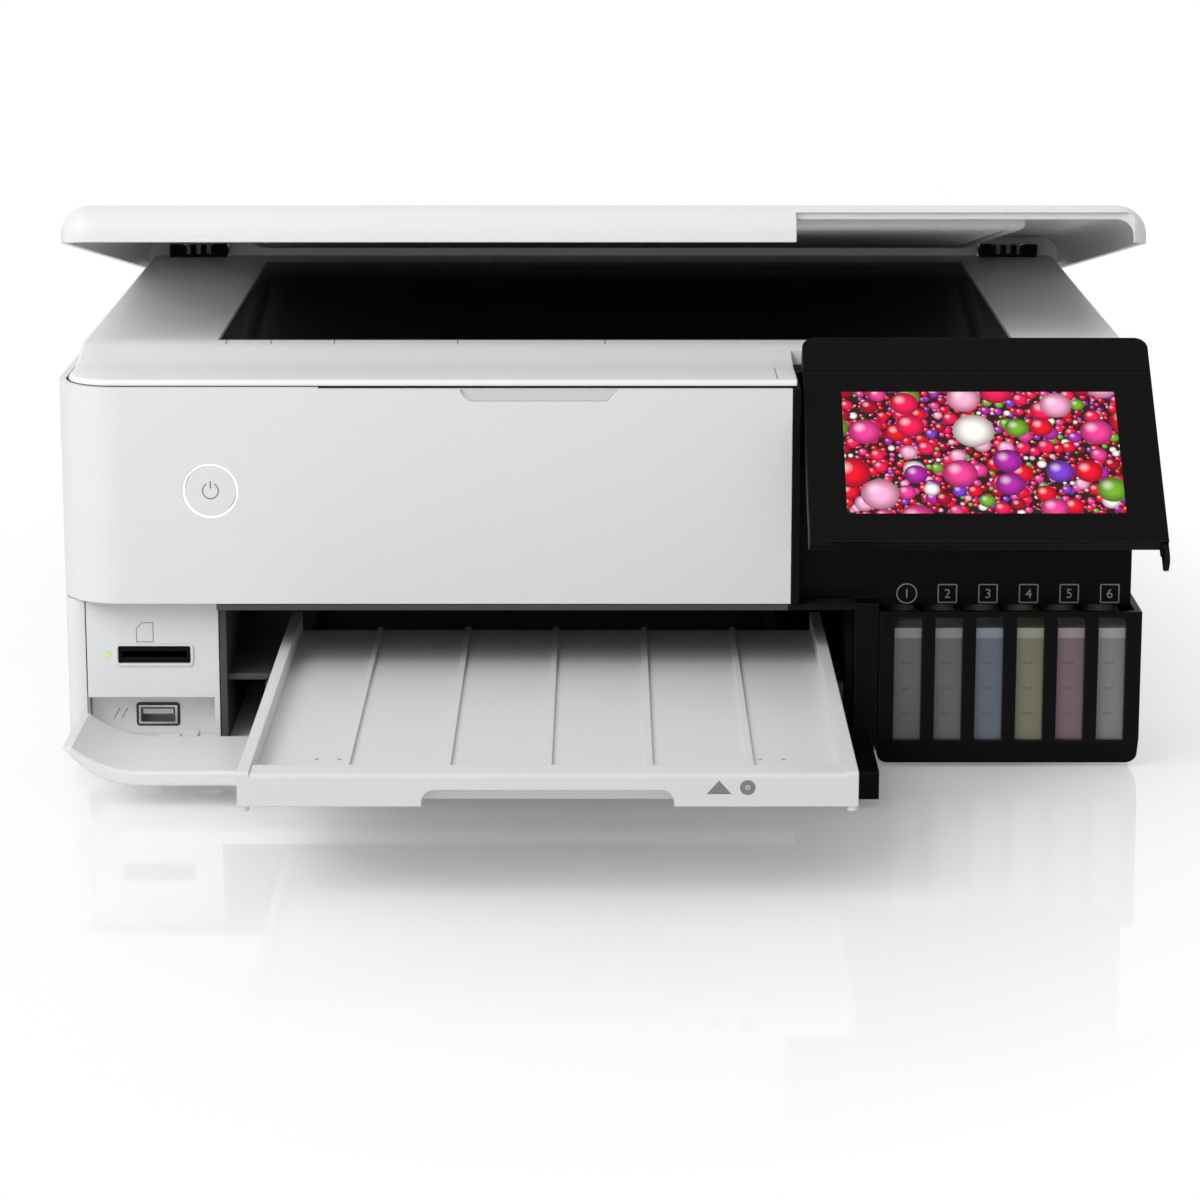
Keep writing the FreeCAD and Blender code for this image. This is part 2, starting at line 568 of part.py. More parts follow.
def build_front_panel():
    slab = box("front_slab", (-half, panel_edge), (front, front + d.corner_return),
               (panel_bottom, case_top))
    slab = rounded("front_slab_round", slab, d.corner_radius, {"x": -half, "y": front})
    room = box("front_room", (-half + d.wall, panel_edge + d.wall),
               (front + d.wall, front + d.corner_return + d.wall),
               (panel_bottom - d.wall, case_top + d.wall))
    room = rounded("front_room_round", room, d.corner_radius - d.wall,
                   {"x": -half + d.wall, "y": front + d.wall})
    grip_low = -half + d.grip_left
    middle = box("grip_middle", (grip_low + d.grip_slope, grip_low + d.grip_wide - d.grip_slope),
                 (front - d.wall, front + d.grip_deep), (case_top - d.grip_tall, case_top + d.wall))
    ends = []
    for name, x in (("left", grip_low + d.grip_slope), ("right", grip_low + d.grip_wide - d.grip_slope)):
        end = doc.addObject("Part::Cylinder", f"grip_end_{name}")
        end.Placement = FreeCAD.Placement(FreeCAD.Vector(), TURN_TO_AXIS["y"])
        bind(end, "Radius", d.grip_tall)
        bind(end, "Height", d.wall + d.grip_deep)
        for axis, place in zip("xyz", (x, front - d.wall, case_top)):
            bind(end, f"Placement.Base.{axis}", place)
        ends.append(end)
    top_gap = box("front_top_gap", (-half + d.top_gap_left, panel_edge + d.wall),
                  (front - d.wall, front + d.wall * 2), (case_top - d.top_gap, case_top + d.wall))
    button = button_place()
    hole = rod("button_hole", "y", d.button_radius + d.button_gap + d.ring_thick,
               (front - d.wall, front + d.wall * 2), button)
    keep(cut("front_panel", slab, room, middle, *ends, top_gap, hole))
    ring = rod("ring_outer", "y", d.button_radius + d.button_gap + d.ring_thick,
               (front, front + d.wall), button)
    inner = rod("ring_inner", "y", d.button_radius + d.button_gap, (front - d.wall, front + d.wall * 2),
                button)
    keep(cut("light_ring", ring, inner))
    keep(lathe("power_button", ((d.button_deep, d.button_radius),),
               (button[0], front + d.button_sink, button[1]), "y"))


def button_place():
    return -half + d.button_left, panel_bottom + d.button_up


def build_fascia():
    right = tank_right - d.fascia_inset
    face_y = front + d.fascia_back
    bay_back = front + d.bracket_back + d.bracket_thick
    shelf_z = panel_bottom + d.fascia_tall
    face = box("fascia_face", (panel_edge + d.seam, right), (face_y, face_y + d.wall),
               (panel_bottom, shelf_z))
    skirt = box("fascia_skirt", (bay_right, right), (face_y, face_y + d.wall),
                (tank_top + d.seam, panel_bottom))
    flank = box("fascia_flank", (right - d.flank_thick, right), (face_y, bay_back + d.wall * 2),
                (tank_top + d.seam, shelf_z))
    shelf = box("fascia_shelf", (panel_edge + d.seam, right), (face_y, bay_back + d.wall),
                (shelf_z - d.wall, shelf_z))
    back = box("fascia_back", (panel_edge + d.seam, right), (bay_back, bay_back + d.wall),
               (shelf_z - d.wall, pan_bottom + d.pan_height - d.seam))
    cheek = box("fascia_cheek", (panel_edge + d.seam, panel_edge + d.seam + d.wall),
                (front + d.seam, bay_back + d.wall), (panel_bottom, case_top - d.seam))
    column = box("fascia_column", (bay_right, tank_left - d.seam),
                 (front + d.seam, front + d.bay_mouth / 2),
                 (floor_top, panel_bottom))
    bar = box("bracket_bar", (arm_place(-1), arm_place(1) + d.arm_wide),
              (front + d.bracket_back, bay_back), (panel_axis_z - d.arm_radius * 2,
                                                   panel_axis_z + d.arm_radius))
    arms = []
    for name, side in (("left", -1), ("right", 1)):
        x = (arm_place(side), arm_place(side) + d.arm_wide)
        arms.append(box(f"arm_{name}", x, (panel_axis_y, front + d.bracket_back),
                        (panel_axis_z - d.arm_radius, panel_axis_z + d.arm_radius)))
        arms.append(rod(f"arm_end_{name}", "x", d.arm_radius, x, (panel_axis_y, panel_axis_z)))
    bore = rod("arm_bore", "x", d.pivot_radius + d.running, (panel_left, half),
               (panel_axis_y, panel_axis_z))
    frame = fuse("fascia_frame", face, skirt, flank, shelf, back, cheek, column, bar, *arms)
    keep(cut("panel_fascia", frame, bore))


def arm_place(side):
    """Low end, along X, of a bracket arm that carries the control panel."""
    if side < 0:
        return panel_left + d.arm_inset
    return half - d.arm_inset - d.arm_wide


def build_control_panel():
    bottom = panel_bottom + d.seam + d.panel_raise
    top = bottom + d.panel_long
    body = box("panel_block", (panel_left, half), (front + d.touch_thick, front + d.panel_thick),
               (bottom, top))
    top_corners = ({"x": panel_left, "z": top}, {"x": half, "z": top})
    body = rounded("panel_block_round", body, d.panel_corner, *top_corners)
    body = rounded("panel_block_soft", body, d.edge_soft, {"y": front + d.panel_thick})
    fin_low = bottom - d.fin_drop
    fin_y = (front + d.touch_thick, front + d.panel_thick)
    fin = box("panel_fin", (right_side + d.seam, half), fin_y, (fin_low, bottom + d.fin_rise))
    fin = rounded("panel_fin_round", fin, d.fin_round, *({"y": y, "z": fin_low} for y in fin_y))
    screen_x = panel_left + d.screen_left
    screen_z = top - d.screen_down - d.screen_long
    screen = ((screen_x, screen_x + d.screen_wide), (front + d.touch_thick,
                                                     front + d.touch_thick + d.screen_thick),
              (screen_z, screen_z + d.screen_long))
    # The lower back edge is cut on a slope, so that the raised panel looks slim from the front.
    slope_y = front + d.panel_thick - d.panel_foot + d.panel_foot * cosine(d.foot_lean)
    slope_z = bottom - d.panel_foot * sine(d.foot_lean)
    slope = box("panel_slope", (panel_left - d.overcut, right_side), (slope_y, slope_y + d.panel_foot * 2),
                (slope_z, slope_z + d.panel_foot))
    tools = [box("screen_room", *screen), lean(slope, d.foot_lean)]
    swing = d.arm_radius * 2 + d.arm_room * 2
    for name, side in (("left", -1), ("right", 1)):
        x = (arm_place(side) - d.side_gap, arm_place(side) + d.arm_wide + d.side_gap)
        tools.append(box(f"arm_pocket_{name}", x,
                         (panel_axis_y - d.arm_radius - d.arm_room / 2, front + d.panel_thick * 2),
                         (panel_axis_z - swing, panel_axis_z + swing)))
    tools.append(rod("panel_bore", "x", d.pivot_radius + d.running,
                     (panel_left + d.pivot_skin, half - d.pivot_skin),
                     (panel_axis_y, panel_axis_z)))
    sheet_glass = box("touch_sheet", (panel_left, half), (front, front + d.touch_thick), (bottom, top))
    for piece in (
        cut("panel_housing", fuse("panel_shell", body, fin), *tools),
        rounded("touch_glass", sheet_glass, d.panel_corner, *top_corners),
        group("display_module", box("display_block", *screen)),
    ):
        keep(tilt(piece, -d.panel_open, panel_axis_y, panel_axis_z))


def build_hinge_pins():
    """Pins that the casing holds: control panel, front cover, scanner and feeder cover."""
    pins = []
    for side in (-1, 1):
        middle = arm_place(side) + d.arm_wide / 2
        pins.append(rod("panel_pin", "x", d.pivot_radius,
                        (middle - d.pivot_long / 2, middle + d.pivot_long / 2),
                        (panel_axis_y, panel_axis_z)))
        low = lift_outer(side) if side < 0 else lift_inner(side)
        pins.append(rod("lift_pin", "x", d.pin_radius, (low, low + d.lift_ear + d.hinge_ear + d.side_gap),
                        (lift_axis_y, lift_axis_z)))
    for low in cover_lug_places():
        pins.append(rod("cover_pin", "x", d.cover_pin,
                        (low, low + d.cover_lug + d.cover_ear + d.side_gap),
                        (cover_axis_y, d.cover_axis_up)))
    chute_low, chute_high = chute_sides()
    pivot = (bed_back + d.feeder_axis_back, case_top + d.feeder_thick / 2 + d.seam)
    for low in (chute_low - d.feeder_margin - d.hinge_ear, chute_high + d.feeder_margin - d.hinge_ear):
        pins.append(rod("feeder_pin", "x", d.feeder_pin, (low, low + d.hinge_ear * 2), pivot))
    keep(group("hinge_pins", *pins))


def build_bay():
    low = front + d.card_setback
    mouth = front + d.bay_mouth
    back = front + d.bay_deep
    left = box("liner_left", (bay_left, bay_left + d.wall), (low, mouth),
               (floor_top, panel_bottom - d.seam))
    left_rear = box("liner_left_rear", (bay_left, bay_left + d.wall), (low, back),
                    (floor_top, tray_top + d.liner_rise))
    right = box("liner_right", (bay_right - d.wall, bay_right), (low, mouth),
                (floor_top, panel_bottom - d.seam))
    right_rear = box("liner_right_rear", (bay_right - d.wall, bay_right), (low, back),
                     (floor_top, tray_top + d.liner_rise))
    roof = box("liner_roof", (bay_left, bay_right), (front + d.seam, mouth),
               (panel_bottom - d.wall, panel_bottom - d.seam))
    ledges = [
        box("ledge_left", (bay_left, bay_left + d.ledge_wide), (low + d.ledge_setback, back),
            (ledge_bottom, ledge_top)),
        box("ledge_right", (bay_right - d.ledge_wide, bay_right), (low + d.ledge_setback, back),
            (ledge_bottom, ledge_top)),
    ]
    keep(fuse("bay_liner", left, left_rear, right, right_rear, roof, *ledges))


def build_card_panel():
    low = -half + d.card_column + d.seam
    high = bay_left - d.seam
    face_y = front + d.card_setback
    port_y = front + d.port_setback
    upper = box("card_face", (low, high), (face_y, face_y + d.wall),
                (d.card_step_up, panel_bottom - d.seam))
    step = box("card_step", (low, high), (face_y, port_y + d.wall),
               (d.card_step_up - d.wall, d.card_step_up))
    lower = box("port_face", (low, high), (port_y, port_y + d.wall), (floor_top, d.card_step_up))
    cheek = box("port_cheek_wall", (high - d.port_cheek, high), (face_y, port_y + d.wall),
                (floor_top, d.card_step_up))
    slot_x = -half + d.slot_left
    port_x = -half + d.port_left
    slot = box("slot_hole", (slot_x, slot_x + d.slot_wide), (face_y - d.wall, face_y + d.wall * 2),
               (d.slot_up, d.slot_up + d.slot_tall))
    port = box("port_hole", (port_x, port_x + d.port_wide), (port_y - d.wall, port_y + d.wall * 2),
               (d.port_up, d.port_up + d.port_tall))
    lamp_at = (slot_x - d.lamp_left, d.slot_up + d.slot_tall / 2)
    lamp = rod("lamp_hole", "y", d.lamp_radius, (face_y - d.wall, face_y + d.wall * 2), lamp_at)
    keep(cut("card_panel", fuse("card_body", upper, step, lower, cheek), slot, port, lamp))
    keep(rod("status_lamp", "y", d.lamp_radius, (face_y - d.lamp_proud, face_y + d.wall), lamp_at))
    reader = box("reader_block", (slot_x, slot_x + d.slot_wide),
                 (face_y + d.reader_setback, face_y + d.reader_deep),
                 (d.slot_up, d.slot_up + d.slot_tall))
    card_x = slot_x + (d.slot_wide - d.card_wide) / 2
    card_z = d.slot_up + (d.slot_tall - d.card_thick) / 2
    room = box("card_room", (card_x, card_x + d.card_wide),
               (face_y - d.wall, face_y + d.reader_deep - d.wall),
               (card_z, card_z + d.card_thick))
    keep(cut("card_reader", reader, room))
    shell = box("port_shell", (port_x, port_x + d.port_wide),
                (port_y - d.port_proud, port_y + d.port_deep),
                (d.port_up, d.port_up + d.port_tall))
    inside = box("port_room", (port_x + d.port_skin, port_x + d.port_wide - d.port_skin),
                 (port_y - d.wall, port_y + d.port_deep - d.port_skin),
                 (d.port_up + d.port_skin, d.port_up + d.port_tall - d.port_skin))
    tongue_top = d.port_up + d.port_tall - d.port_skin * 2
    tongue = box("port_tongue", (port_x + d.port_skin * 2, port_x + d.port_wide - d.port_skin * 2),
                 (port_y, port_y + d.port_deep), (tongue_top - d.tongue_thick, tongue_top))
    keep(fuse("usb_port", cut("port_sleeve", shell, inside), tongue))


def build_front_cover():
    bottom = d.cover_bottom
    top = bottom + d.cover_thick
    back = front - d.cover_gap
    tip = front - d.cover_reach
    bend_x = -half + d.cover_bend
    plate = box("cover_plate", (bend_x, panel_edge), (tip, back), (bottom, top))
    outer = rod("cover_curl_outer", "y", d.curl_outer, (tip, back), (bend_x, bottom + d.curl_outer))
    inner = rod("cover_curl_inner", "y", d.curl_inner, (tip - d.wall, back + d.wall),
                (bend_x, top + d.curl_inner))
    window = box("cover_curl_window", (-half, bend_x), (tip, back), (bottom, bottom + d.cover_curl))
    curl = common("cover_curl", cut("cover_curl_ring", outer, inner), window)
    leaf = rounded("cover_leaf", fuse("cover_blank", plate, curl), d.cover_tip_radius, {"y": tip})
    lugs = []
    for low in cover_lug_places():
        x = (low, low + d.cover_lug)
        lugs.append(rod("cover_lug", "x", d.cover_boss, x, (cover_axis_y, d.cover_axis_up)))
        lugs.append(box("cover_tongue", x, (back - d.wall, cover_axis_y),
                        (bottom, d.cover_axis_up + d.cover_boss)))
    bore = rod("cover_lug_bore", "x", d.cover_pin + d.running, (-half, half),
               (cover_axis_y, d.cover_axis_up))
    keep(cut("front_cover", fuse("cover_body", leaf, *lugs), bore))
    end = box("cover_end_block", (panel_edge, panel_edge + d.cover_end_wide), (tip, back),
              (bottom - d.cover_end_drop, top))
    keep(rounded("cover_end", end, d.cover_tip_radius, {"y": tip, "z": bottom - d.cover_end_drop},
                 {"y": tip, "z": top}))


def build_tray():
    low = paper_centre - d.tray_wide / 2
    high = paper_centre + d.tray_wide / 2
    tip = front - d.tray_reach
    back = tip + d.tray_long
    floor_low = tray_bottom + d.tray_floor_up
    plate = box("tray_plate", (low, high), (tip + d.tray_lip / 2, back),
                (floor_low, floor_low + d.tray_floor))
    lip = box("tray_lip", (low, high), (tip, tip + d.tray_lip), (tray_bottom, tray_top))
    lip = rounded("tray_lip_round", lip, d.edge_soft, {"y": tip, "z": tray_top})
    sides = []
    pegs = []
    for name, x in (("left", (low, low + d.tray_side)), ("right", (high - d.tray_side, high))):
        side = box(f"tray_side_{name}", x, (tip, back), (tray_bottom, tray_top + d.tray_side_rise))
        sides.append(rounded(f"tray_side_{name}_round", side, d.edge_soft,
                             {"y": tip, "z": tray_top + d.tray_side_rise}))
        pegs.append(rod(f"tray_peg_{name}", "z", d.tray_peg_radius, (tray_bottom - d.tray_peg, tray_top),
                        (x[0] + d.tray_side / 2, tip + d.tray_side / 2)))
    ribs = []
    rib_top = floor_low + d.tray_floor + d.tray_rib
    for number in range(1, TRAY_RIBS + 1):
        x = low + d.tray_wide * number / (TRAY_RIBS + 1)
        ribs.append(box(f"tray_rib_{number}", (x - d.tray_rib_wide / 2, x + d.tray_rib_wide / 2),
                        (tip + d.tray_lip, back), (floor_low, rib_top)))
    grip = box("tray_grip", (paper_centre - d.tray_grip / 2, paper_centre + d.tray_grip / 2),
               (tip - d.wall, tip + d.tray_grip_deep),
               (tray_bottom - d.wall, tray_bottom + d.tray_grip_tall))
    grip_top = tray_bottom + d.tray_grip_tall
    grip = rounded("tray_grip_round", grip, d.tray_grip_soft,
                   *({"x": paper_centre + d.tray_grip / 2 * side, "z": grip_top} for side in (-1, 1)))
    body = fuse("tray_body", plate, lip, *sides, *ribs, *pegs)
    keep(cut("output_tray", body, grip))
    low = paper_centre - d.cassette_wide / 2
    high = paper_centre + d.cassette_wide / 2
    start = front + d.cassette_setback
    end = start + d.cassette_long
    block = box("cassette_block", (low, high), (start, end), (cassette_bottom, cassette_top))
    room = box("cassette_room", (low + d.cassette_skin, high - d.cassette_skin),
               (start + d.cassette_skin, end - d.cassette_skin),
               (cassette_bottom + d.cassette_skin, cassette_top + d.wall))
    keep(cut("paper_cassette", block, room))


def build_tanks():
    deep = (front, tank_back())
    block = box("tank_block", (tank_left, tank_right), deep, (d.tank_block_bottom, tank_top))
    block = rounded("tank_block_round", block, d.tank_corner, {"x": tank_left, "z": d.tank_block_bottom},
                    {"x": tank_right, "z": d.tank_block_bottom})
    bevel = doc.addObject("Part::Wedge", "tank_bevel")
    for name, size in (("Xmin", 0), ("Ymin", 0), ("Zmin", 0), ("X2min", 0), ("Z2min", 0), ("X2max", 0),
                       ("Xmax", d.tank_bevel_in), ("Zmax", tank_block_wide),
                       ("Z2max", tank_block_wide),
                       ("Ymax", d.tank_bevel_up)):
        bind(bevel, name, size)
    bevel.Placement = FreeCAD.Placement(FreeCAD.Vector(), FreeCAD.Rotation(FreeCAD.Vector(1, 1, 1), 120))
    for axis, place in zip("xyz", (tank_left, front, d.tank_block_bottom)):
        bind(bevel, f"Placement.Base.{axis}", place)
    floor_z = d.tank_floor_up
    room = box("tank_room", (tank_left + d.wall, tank_right - d.wall),
               (front + d.wall, tank_back() - d.wall),
               (floor_z, tank_top + d.wall))
    windows = []
    tanks = []
    caps = []
    first = tank_right - d.window_side - tank_row
    for number in range(tank_number):
        x = first + d.tank_pitch * number
        windows.append(box(f"window_{number + 1}", (x - d.window_wide / 2, x + d.window_wide / 2),
                           (front - d.wall, front + d.wall * 2),
                           (d.window_up, d.window_up + d.window_tall)))
        vessel = box(f"vessel_{number + 1}", (x - d.tank_wide / 2, x + d.tank_wide / 2),
                     (front + d.wall + d.seam, front + d.wall + d.seam + d.tank_deep),
                     (floor_z, floor_z + d.tank_tall))
        neck_at = (x, front + d.neck_back)
        neck_top = floor_z + d.tank_tall + d.neck_tall
        neck = rod(f"neck_{number + 1}", "z", d.neck_radius,
                   (floor_z + d.tank_tall - d.overcut, neck_top), neck_at)
        tanks.append(fuse(f"ink_tank_{number + 1}", vessel, neck))
        caps.append(rod(f"cap_{number + 1}", "z", d.cap_radius, (neck_top, neck_top + d.cap_tall),
                        neck_at))
    keep(cut("tank_housing", block, bevel, room, *windows))
    for tank in tanks:
        keep(tank)
    keep(group("tank_caps", *caps))


def build_mechanism():
    back = front + d.back_plate
    start = front + d.plate_front
    left_x = (plate_left - d.plate_skin, plate_left)
    right_x = (plate_right, plate_right + d.plate_skin)
    wide = (-half + d.rail_end - d.plate_skin, right_side - d.rail_end + d.plate_skin)
    left = box("frame_left", left_x, (start, back + d.plate_skin), (floor_top, carriage_top))
    right = box("frame_right", right_x, (start, back + d.plate_skin), (floor_top, platen_top))
    beam_z = (carriage_bottom + d.beam_up, carriage_top + d.beam_over)
    rear_plate = box("frame_rear", wide, (back, back + d.plate_skin), beam_z)
    post = box("frame_post", right_x, (back, back + d.plate_skin), (floor_top, beam_z[0] + d.overcut))
    return_y = (front + d.rail_back - d.beam_return, back)
    ends = [
        box("frame_end_left", (wide[0], wide[0] + d.plate_skin), return_y, beam_z),
        box("frame_end_right", (wide[1] - d.plate_skin, wide[1]), return_y, beam_z),
    ]
    body = fuse("frame_body", left, right, rear_plate, post, *ends)
    rail_z = carriage_bottom + d.rail_up
    belt_z = carriage_bottom + d.belt_up
    pulley_y = (back - d.belt_gap - d.belt_wide, back - d.belt_gap)
    pulley_x = pulley_places()
    bores = [
        rod("exit_bore", "x", d.exit_shaft + d.running, (wide[0], wide[1]),
            (front + d.exit_back, exit_z)),
        rod("feed_bore", "x", d.feed_shaft + d.running, (wide[0], wide[1]),
            (front + d.feed_back, feed_z)),
        rod("rail_bore", "x", d.rail_radius + d.running, (-half, half), (front + d.rail_back, rail_z)),
    ]
    for x in pulley_x:
        bores.append(rod("pulley_bore", "y", d.motor_shaft + d.shaft_hole,
                         (back - d.overcut, back + d.wall * 2), (x, belt_z)))
    plate_bore = (plate_left - d.plate_skin - d.overcut, plate_left + d.overcut)
    pinion_y, pinion_z = pinion_place()
    bores.append(rod("pinion_bore", "x", d.motor_shaft + d.shaft_hole, plate_bore, (pinion_y, pinion_z)))
    idler_y, idler_z = idler_place()
    bores.append(rod("idler_bore", "x", d.motor_shaft + d.running, plate_bore, (idler_y, idler_z)))
    keep(cut("mech_frame", body, *bores))
    keep(rod("carriage_rail", "x", d.rail_radius, wide, (front + d.rail_back, rail_z)))
    platen = box("platen", (plate_left, plate_right),
                 (front + d.platen_front, front + d.platen_front + d.platen_deep),
                 (platen_top - d.platen_thick, platen_top))
    keep(platen)
    build_belt(pulley_x, pulley_y, belt_z, back)
    build_carriage(rail_z)
    build_star_wheels()
    build_capping()


def pulley_places():
    return (plate_left + d.pulley_radius * 2, right_side - d.pulley_inset - d.rail_end)


def build_belt(pulley_x, pulley_y, belt_z, back):
    def loop(label, radius, y):
        ends = [rod(f"{label}_end", "y", radius, y, (x, belt_z)) for x in pulley_x]
        run = box(f"{label}_run", pulley_x, y, (belt_z - radius, belt_z + radius))
        return fuse(label, run, *ends)
    outside = loop("belt_outside", d.pulley_radius + d.running + d.belt_thick, pulley_y)
    inside = loop("belt_inside", d.pulley_radius + d.running,
                  (pulley_y[0] - d.overcut, pulley_y[1] + d.overcut))
    keep(cut("timing_belt", outside, inside))
    for name, x in zip(("idler_pulley", "drive_pulley"), pulley_x):
        steps = ((d.belt_wide, d.pulley_radius), (d.belt_gap + d.plate_skin, d.motor_shaft))
        keep(lathe(name, steps, (x, pulley_y[0], belt_z), "y"))
    motor_y = back + d.plate_skin
    keep(rod("carriage_motor", "y", d.motor_radius, (motor_y + d.seam / 2, motor_y + d.motor_long),
             (pulley_x[1], belt_z)))


def build_carriage(rail_z):
    low = carriage_park
    y = (front + d.carriage_front, front + d.carriage_front + d.carriage_deep)
    block = box("carriage_block", (low, low + d.carriage_wide), y, (carriage_bottom, carriage_top))
    block = rounded("carriage_round", block, d.carriage_soft, {"y": y[0], "z": carriage_top})
    bore = rod("carriage_bore", "x", d.rail_radius + d.running,
               (low - d.overcut, low + d.carriage_wide + d.overcut),
               (front + d.rail_back, rail_z))
    keep(cut("carriage", block, bore))
    head_x = low + (d.carriage_wide - d.head_wide) / 2
    keep(box("print_head", (head_x, head_x + d.head_wide),
             (y[0] + d.head_front, y[0] + d.head_front + d.head_deep),
             (head_bottom, carriage_bottom)))


def build_star_wheels():
    axle = (front + d.exit_back, exit_z + d.star_rise)
    y = (axle[0] - d.star_bar, axle[0] + d.star_bar)
    bar_z = axle[1] + d.star_radius
    bar = box("star_bar_top", (plate_left, plate_right), y, (bar_z, bar_z + d.star_bar_thick))
    leg = box("star_bar_leg", (plate_right - d.wall, plate_right), y, (exit_z + d.exit_radius, bar_z))
    shaft = rod("star_shaft", "x", d.star_shaft, (plate_left, plate_right), axle)
    wheels = []
    count = int(float((plate_right - plate_left) / d.star_pitch))
    for number in range(1, count):
        x = plate_left + d.star_pitch * number
        wheels.append(rod("star_wheel", "x", d.star_radius, (x, x + d.star_thick), axle))
    keep(fuse("star_wheel_bar", bar, leg, shaft, *wheels))


def build_capping():
    low = carriage_park + (d.carriage_wide - d.cap_block_wide) / 2
    y = (front + d.carriage_front, front + d.carriage_front + d.head_deep + d.head_front * 2)
    block = box("cap_block", (low, low + d.cap_block_wide), y, (floor_top, platen_top - d.cap_block_drop))
    head_x = low + (d.cap_block_wide - d.head_wide) / 2
    head_y = y[0] + d.head_front
    lip = box("cap_lip_block", (head_x, head_x + d.head_wide), (head_y, head_y + d.head_deep),
              (platen_top - d.wall, head_bottom - d.slide_gap))
    room = box("cap_lip_room", (head_x + d.cap_lip, head_x + d.head_wide - d.cap_lip),
               (head_y + d.cap_lip, head_y + d.head_deep - d.cap_lip),
               (platen_top - d.wall - d.overcut, head_bottom + d.overcut))
    keep(fuse("capping_station", block, cut("cap_frame", lip, room)))
    waste_x = tank_left + d.wall
    waste_y = rear - d.wall * 2 - d.seam * 2
    keep(box("waste_ink_box", (waste_x, waste_x + d.waste_wide), (waste_y - d.waste_deep, waste_y),
             (floor_top, floor_top + d.waste_tall)))


def pinion_place():
    reach = d.gear_module * (d.feed_teeth + d.pinion_teeth) / 2
    return front + d.feed_back + reach * cosine(d.pinion_lean), feed_z + reach * sine(d.pinion_lean)


def idler_place():
    """The idler lies on the line from the feed axle to the exit axle, as far as its teeth ask."""
    reach = d.gear_module * (d.feed_teeth + d.idler_teeth) / 2
    run_y = d.exit_back - d.feed_back
    run_z = exit_z - feed_z
    span = math.hypot(float(run_y), float(run_z))
    return front + d.feed_back + reach * run_y / span, feed_z + reach * run_z / span


def gear(label, teeth, phase, x, centre):
    """A spur gear along X with straight-flanked teeth, one of them at the given phase."""
    module = float(d.gear_module)
    count = int(float(teeth))
    root = module * (count / 2 - TOOTH_ROOT)
    tip = module * (count / 2 + TOOTH_TIP)
    step = 2 * math.pi / count
    points = []
    for number in range(count):
        middle = phase + number * step
        for radius, share in ((root, -ROOT_SHARE), (tip, -TIP_SHARE), (tip, TIP_SHARE),
                              (root, ROOT_SHARE)):
            angle = middle + share * step
            points.append(FreeCAD.Vector(0, radius * math.cos(angle), radius * math.sin(angle)))
    wire = Part.makePolygon(points + points[:1])
    piece = doc.addObject("Part::Feature", label)
    piece.Shape = Part.Face(wire).extrude(FreeCAD.Vector(float(d.gear_wide), 0, 0))
    for axis, place in zip("xyz", (x, centre[0], centre[1])):
        bind(piece, f"Placement.Base.{axis}", place)
    return piece


def mesh_phase(phase, teeth, next_teeth, line):
    """Phase of a gear so that its gap takes the tooth of the gear before it, along the line of centres."""
    return line + math.pi - (phase - line) * float(teeth) / float(next_teeth) + math.pi / float(next_teeth)


def build_feed():
    feed_at = (front + d.feed_back, feed_z)
    exit_at = (front + d.exit_back, exit_z)
    gear_x = plate_left - d.plate_skin - d.gear_gap - d.gear_wide
    to_exit = math.atan2(float(exit_z - feed_z), float(d.exit_back - d.feed_back))
    to_pinion = math.radians(float(d.pinion_lean))
    idler_phase = mesh_phase(0.0, d.feed_teeth, d.idler_teeth, to_exit)
    exit_phase = mesh_phase(idler_phase, d.idler_teeth, d.exit_teeth, to_exit)
    pinion_phase = mesh_phase(0.0, d.feed_teeth, d.pinion_teeth, to_pinion)
    span = plate_right - plate_left
    out = d.plate_skin + d.gear_gap + d.gear_wide
    feed_gear = gear("feed_gear", d.feed_teeth, 0.0, gear_x, feed_at)
    feed_steps = ((out + d.seam, d.feed_shaft), (span - d.seam * 2, d.feed_radius),
                  (d.seam + d.plate_skin, d.feed_shaft))
    feed_roller = lathe("feed_axle", feed_steps, (gear_x, *feed_at), "x")
    keep(fuse("feed_roller", feed_gear, feed_roller))
    exit_gear = gear("exit_gear", d.exit_teeth, exit_phase, gear_x, exit_at)
    exit_steps = ((out + d.seam, d.exit_shaft), (span - d.seam * 2, d.exit_radius),
                  (d.seam + d.plate_skin, d.exit_shaft))
    exit_roller = lathe("exit_axle", exit_steps, (gear_x, *exit_at), "x")
    keep(fuse("exit_roller", exit_gear, exit_roller))
    idler_at = idler_place()
    idler_wheel = gear("idler_wheel", d.idler_teeth, idler_phase, gear_x, idler_at)
    idler_stub = rod("idler_stub", "x", d.motor_shaft, (gear_x, plate_left), idler_at)
    keep(fuse("idler_gear", idler_wheel, idler_stub))
    pinion_at = pinion_place()
    pinion_wheel = gear("pinion_wheel", d.pinion_teeth, pinion_phase, gear_x, pinion_at)
    pinion_stub = rod("pinion_stub", "x", d.motor_shaft, (gear_x, plate_left), pinion_at)
    keep(fuse("feed_pinion", pinion_wheel, pinion_stub))
    keep(rod("feed_motor", "x", d.feed_motor_radius, (plate_left, plate_left + d.feed_motor_long),
             pinion_at))


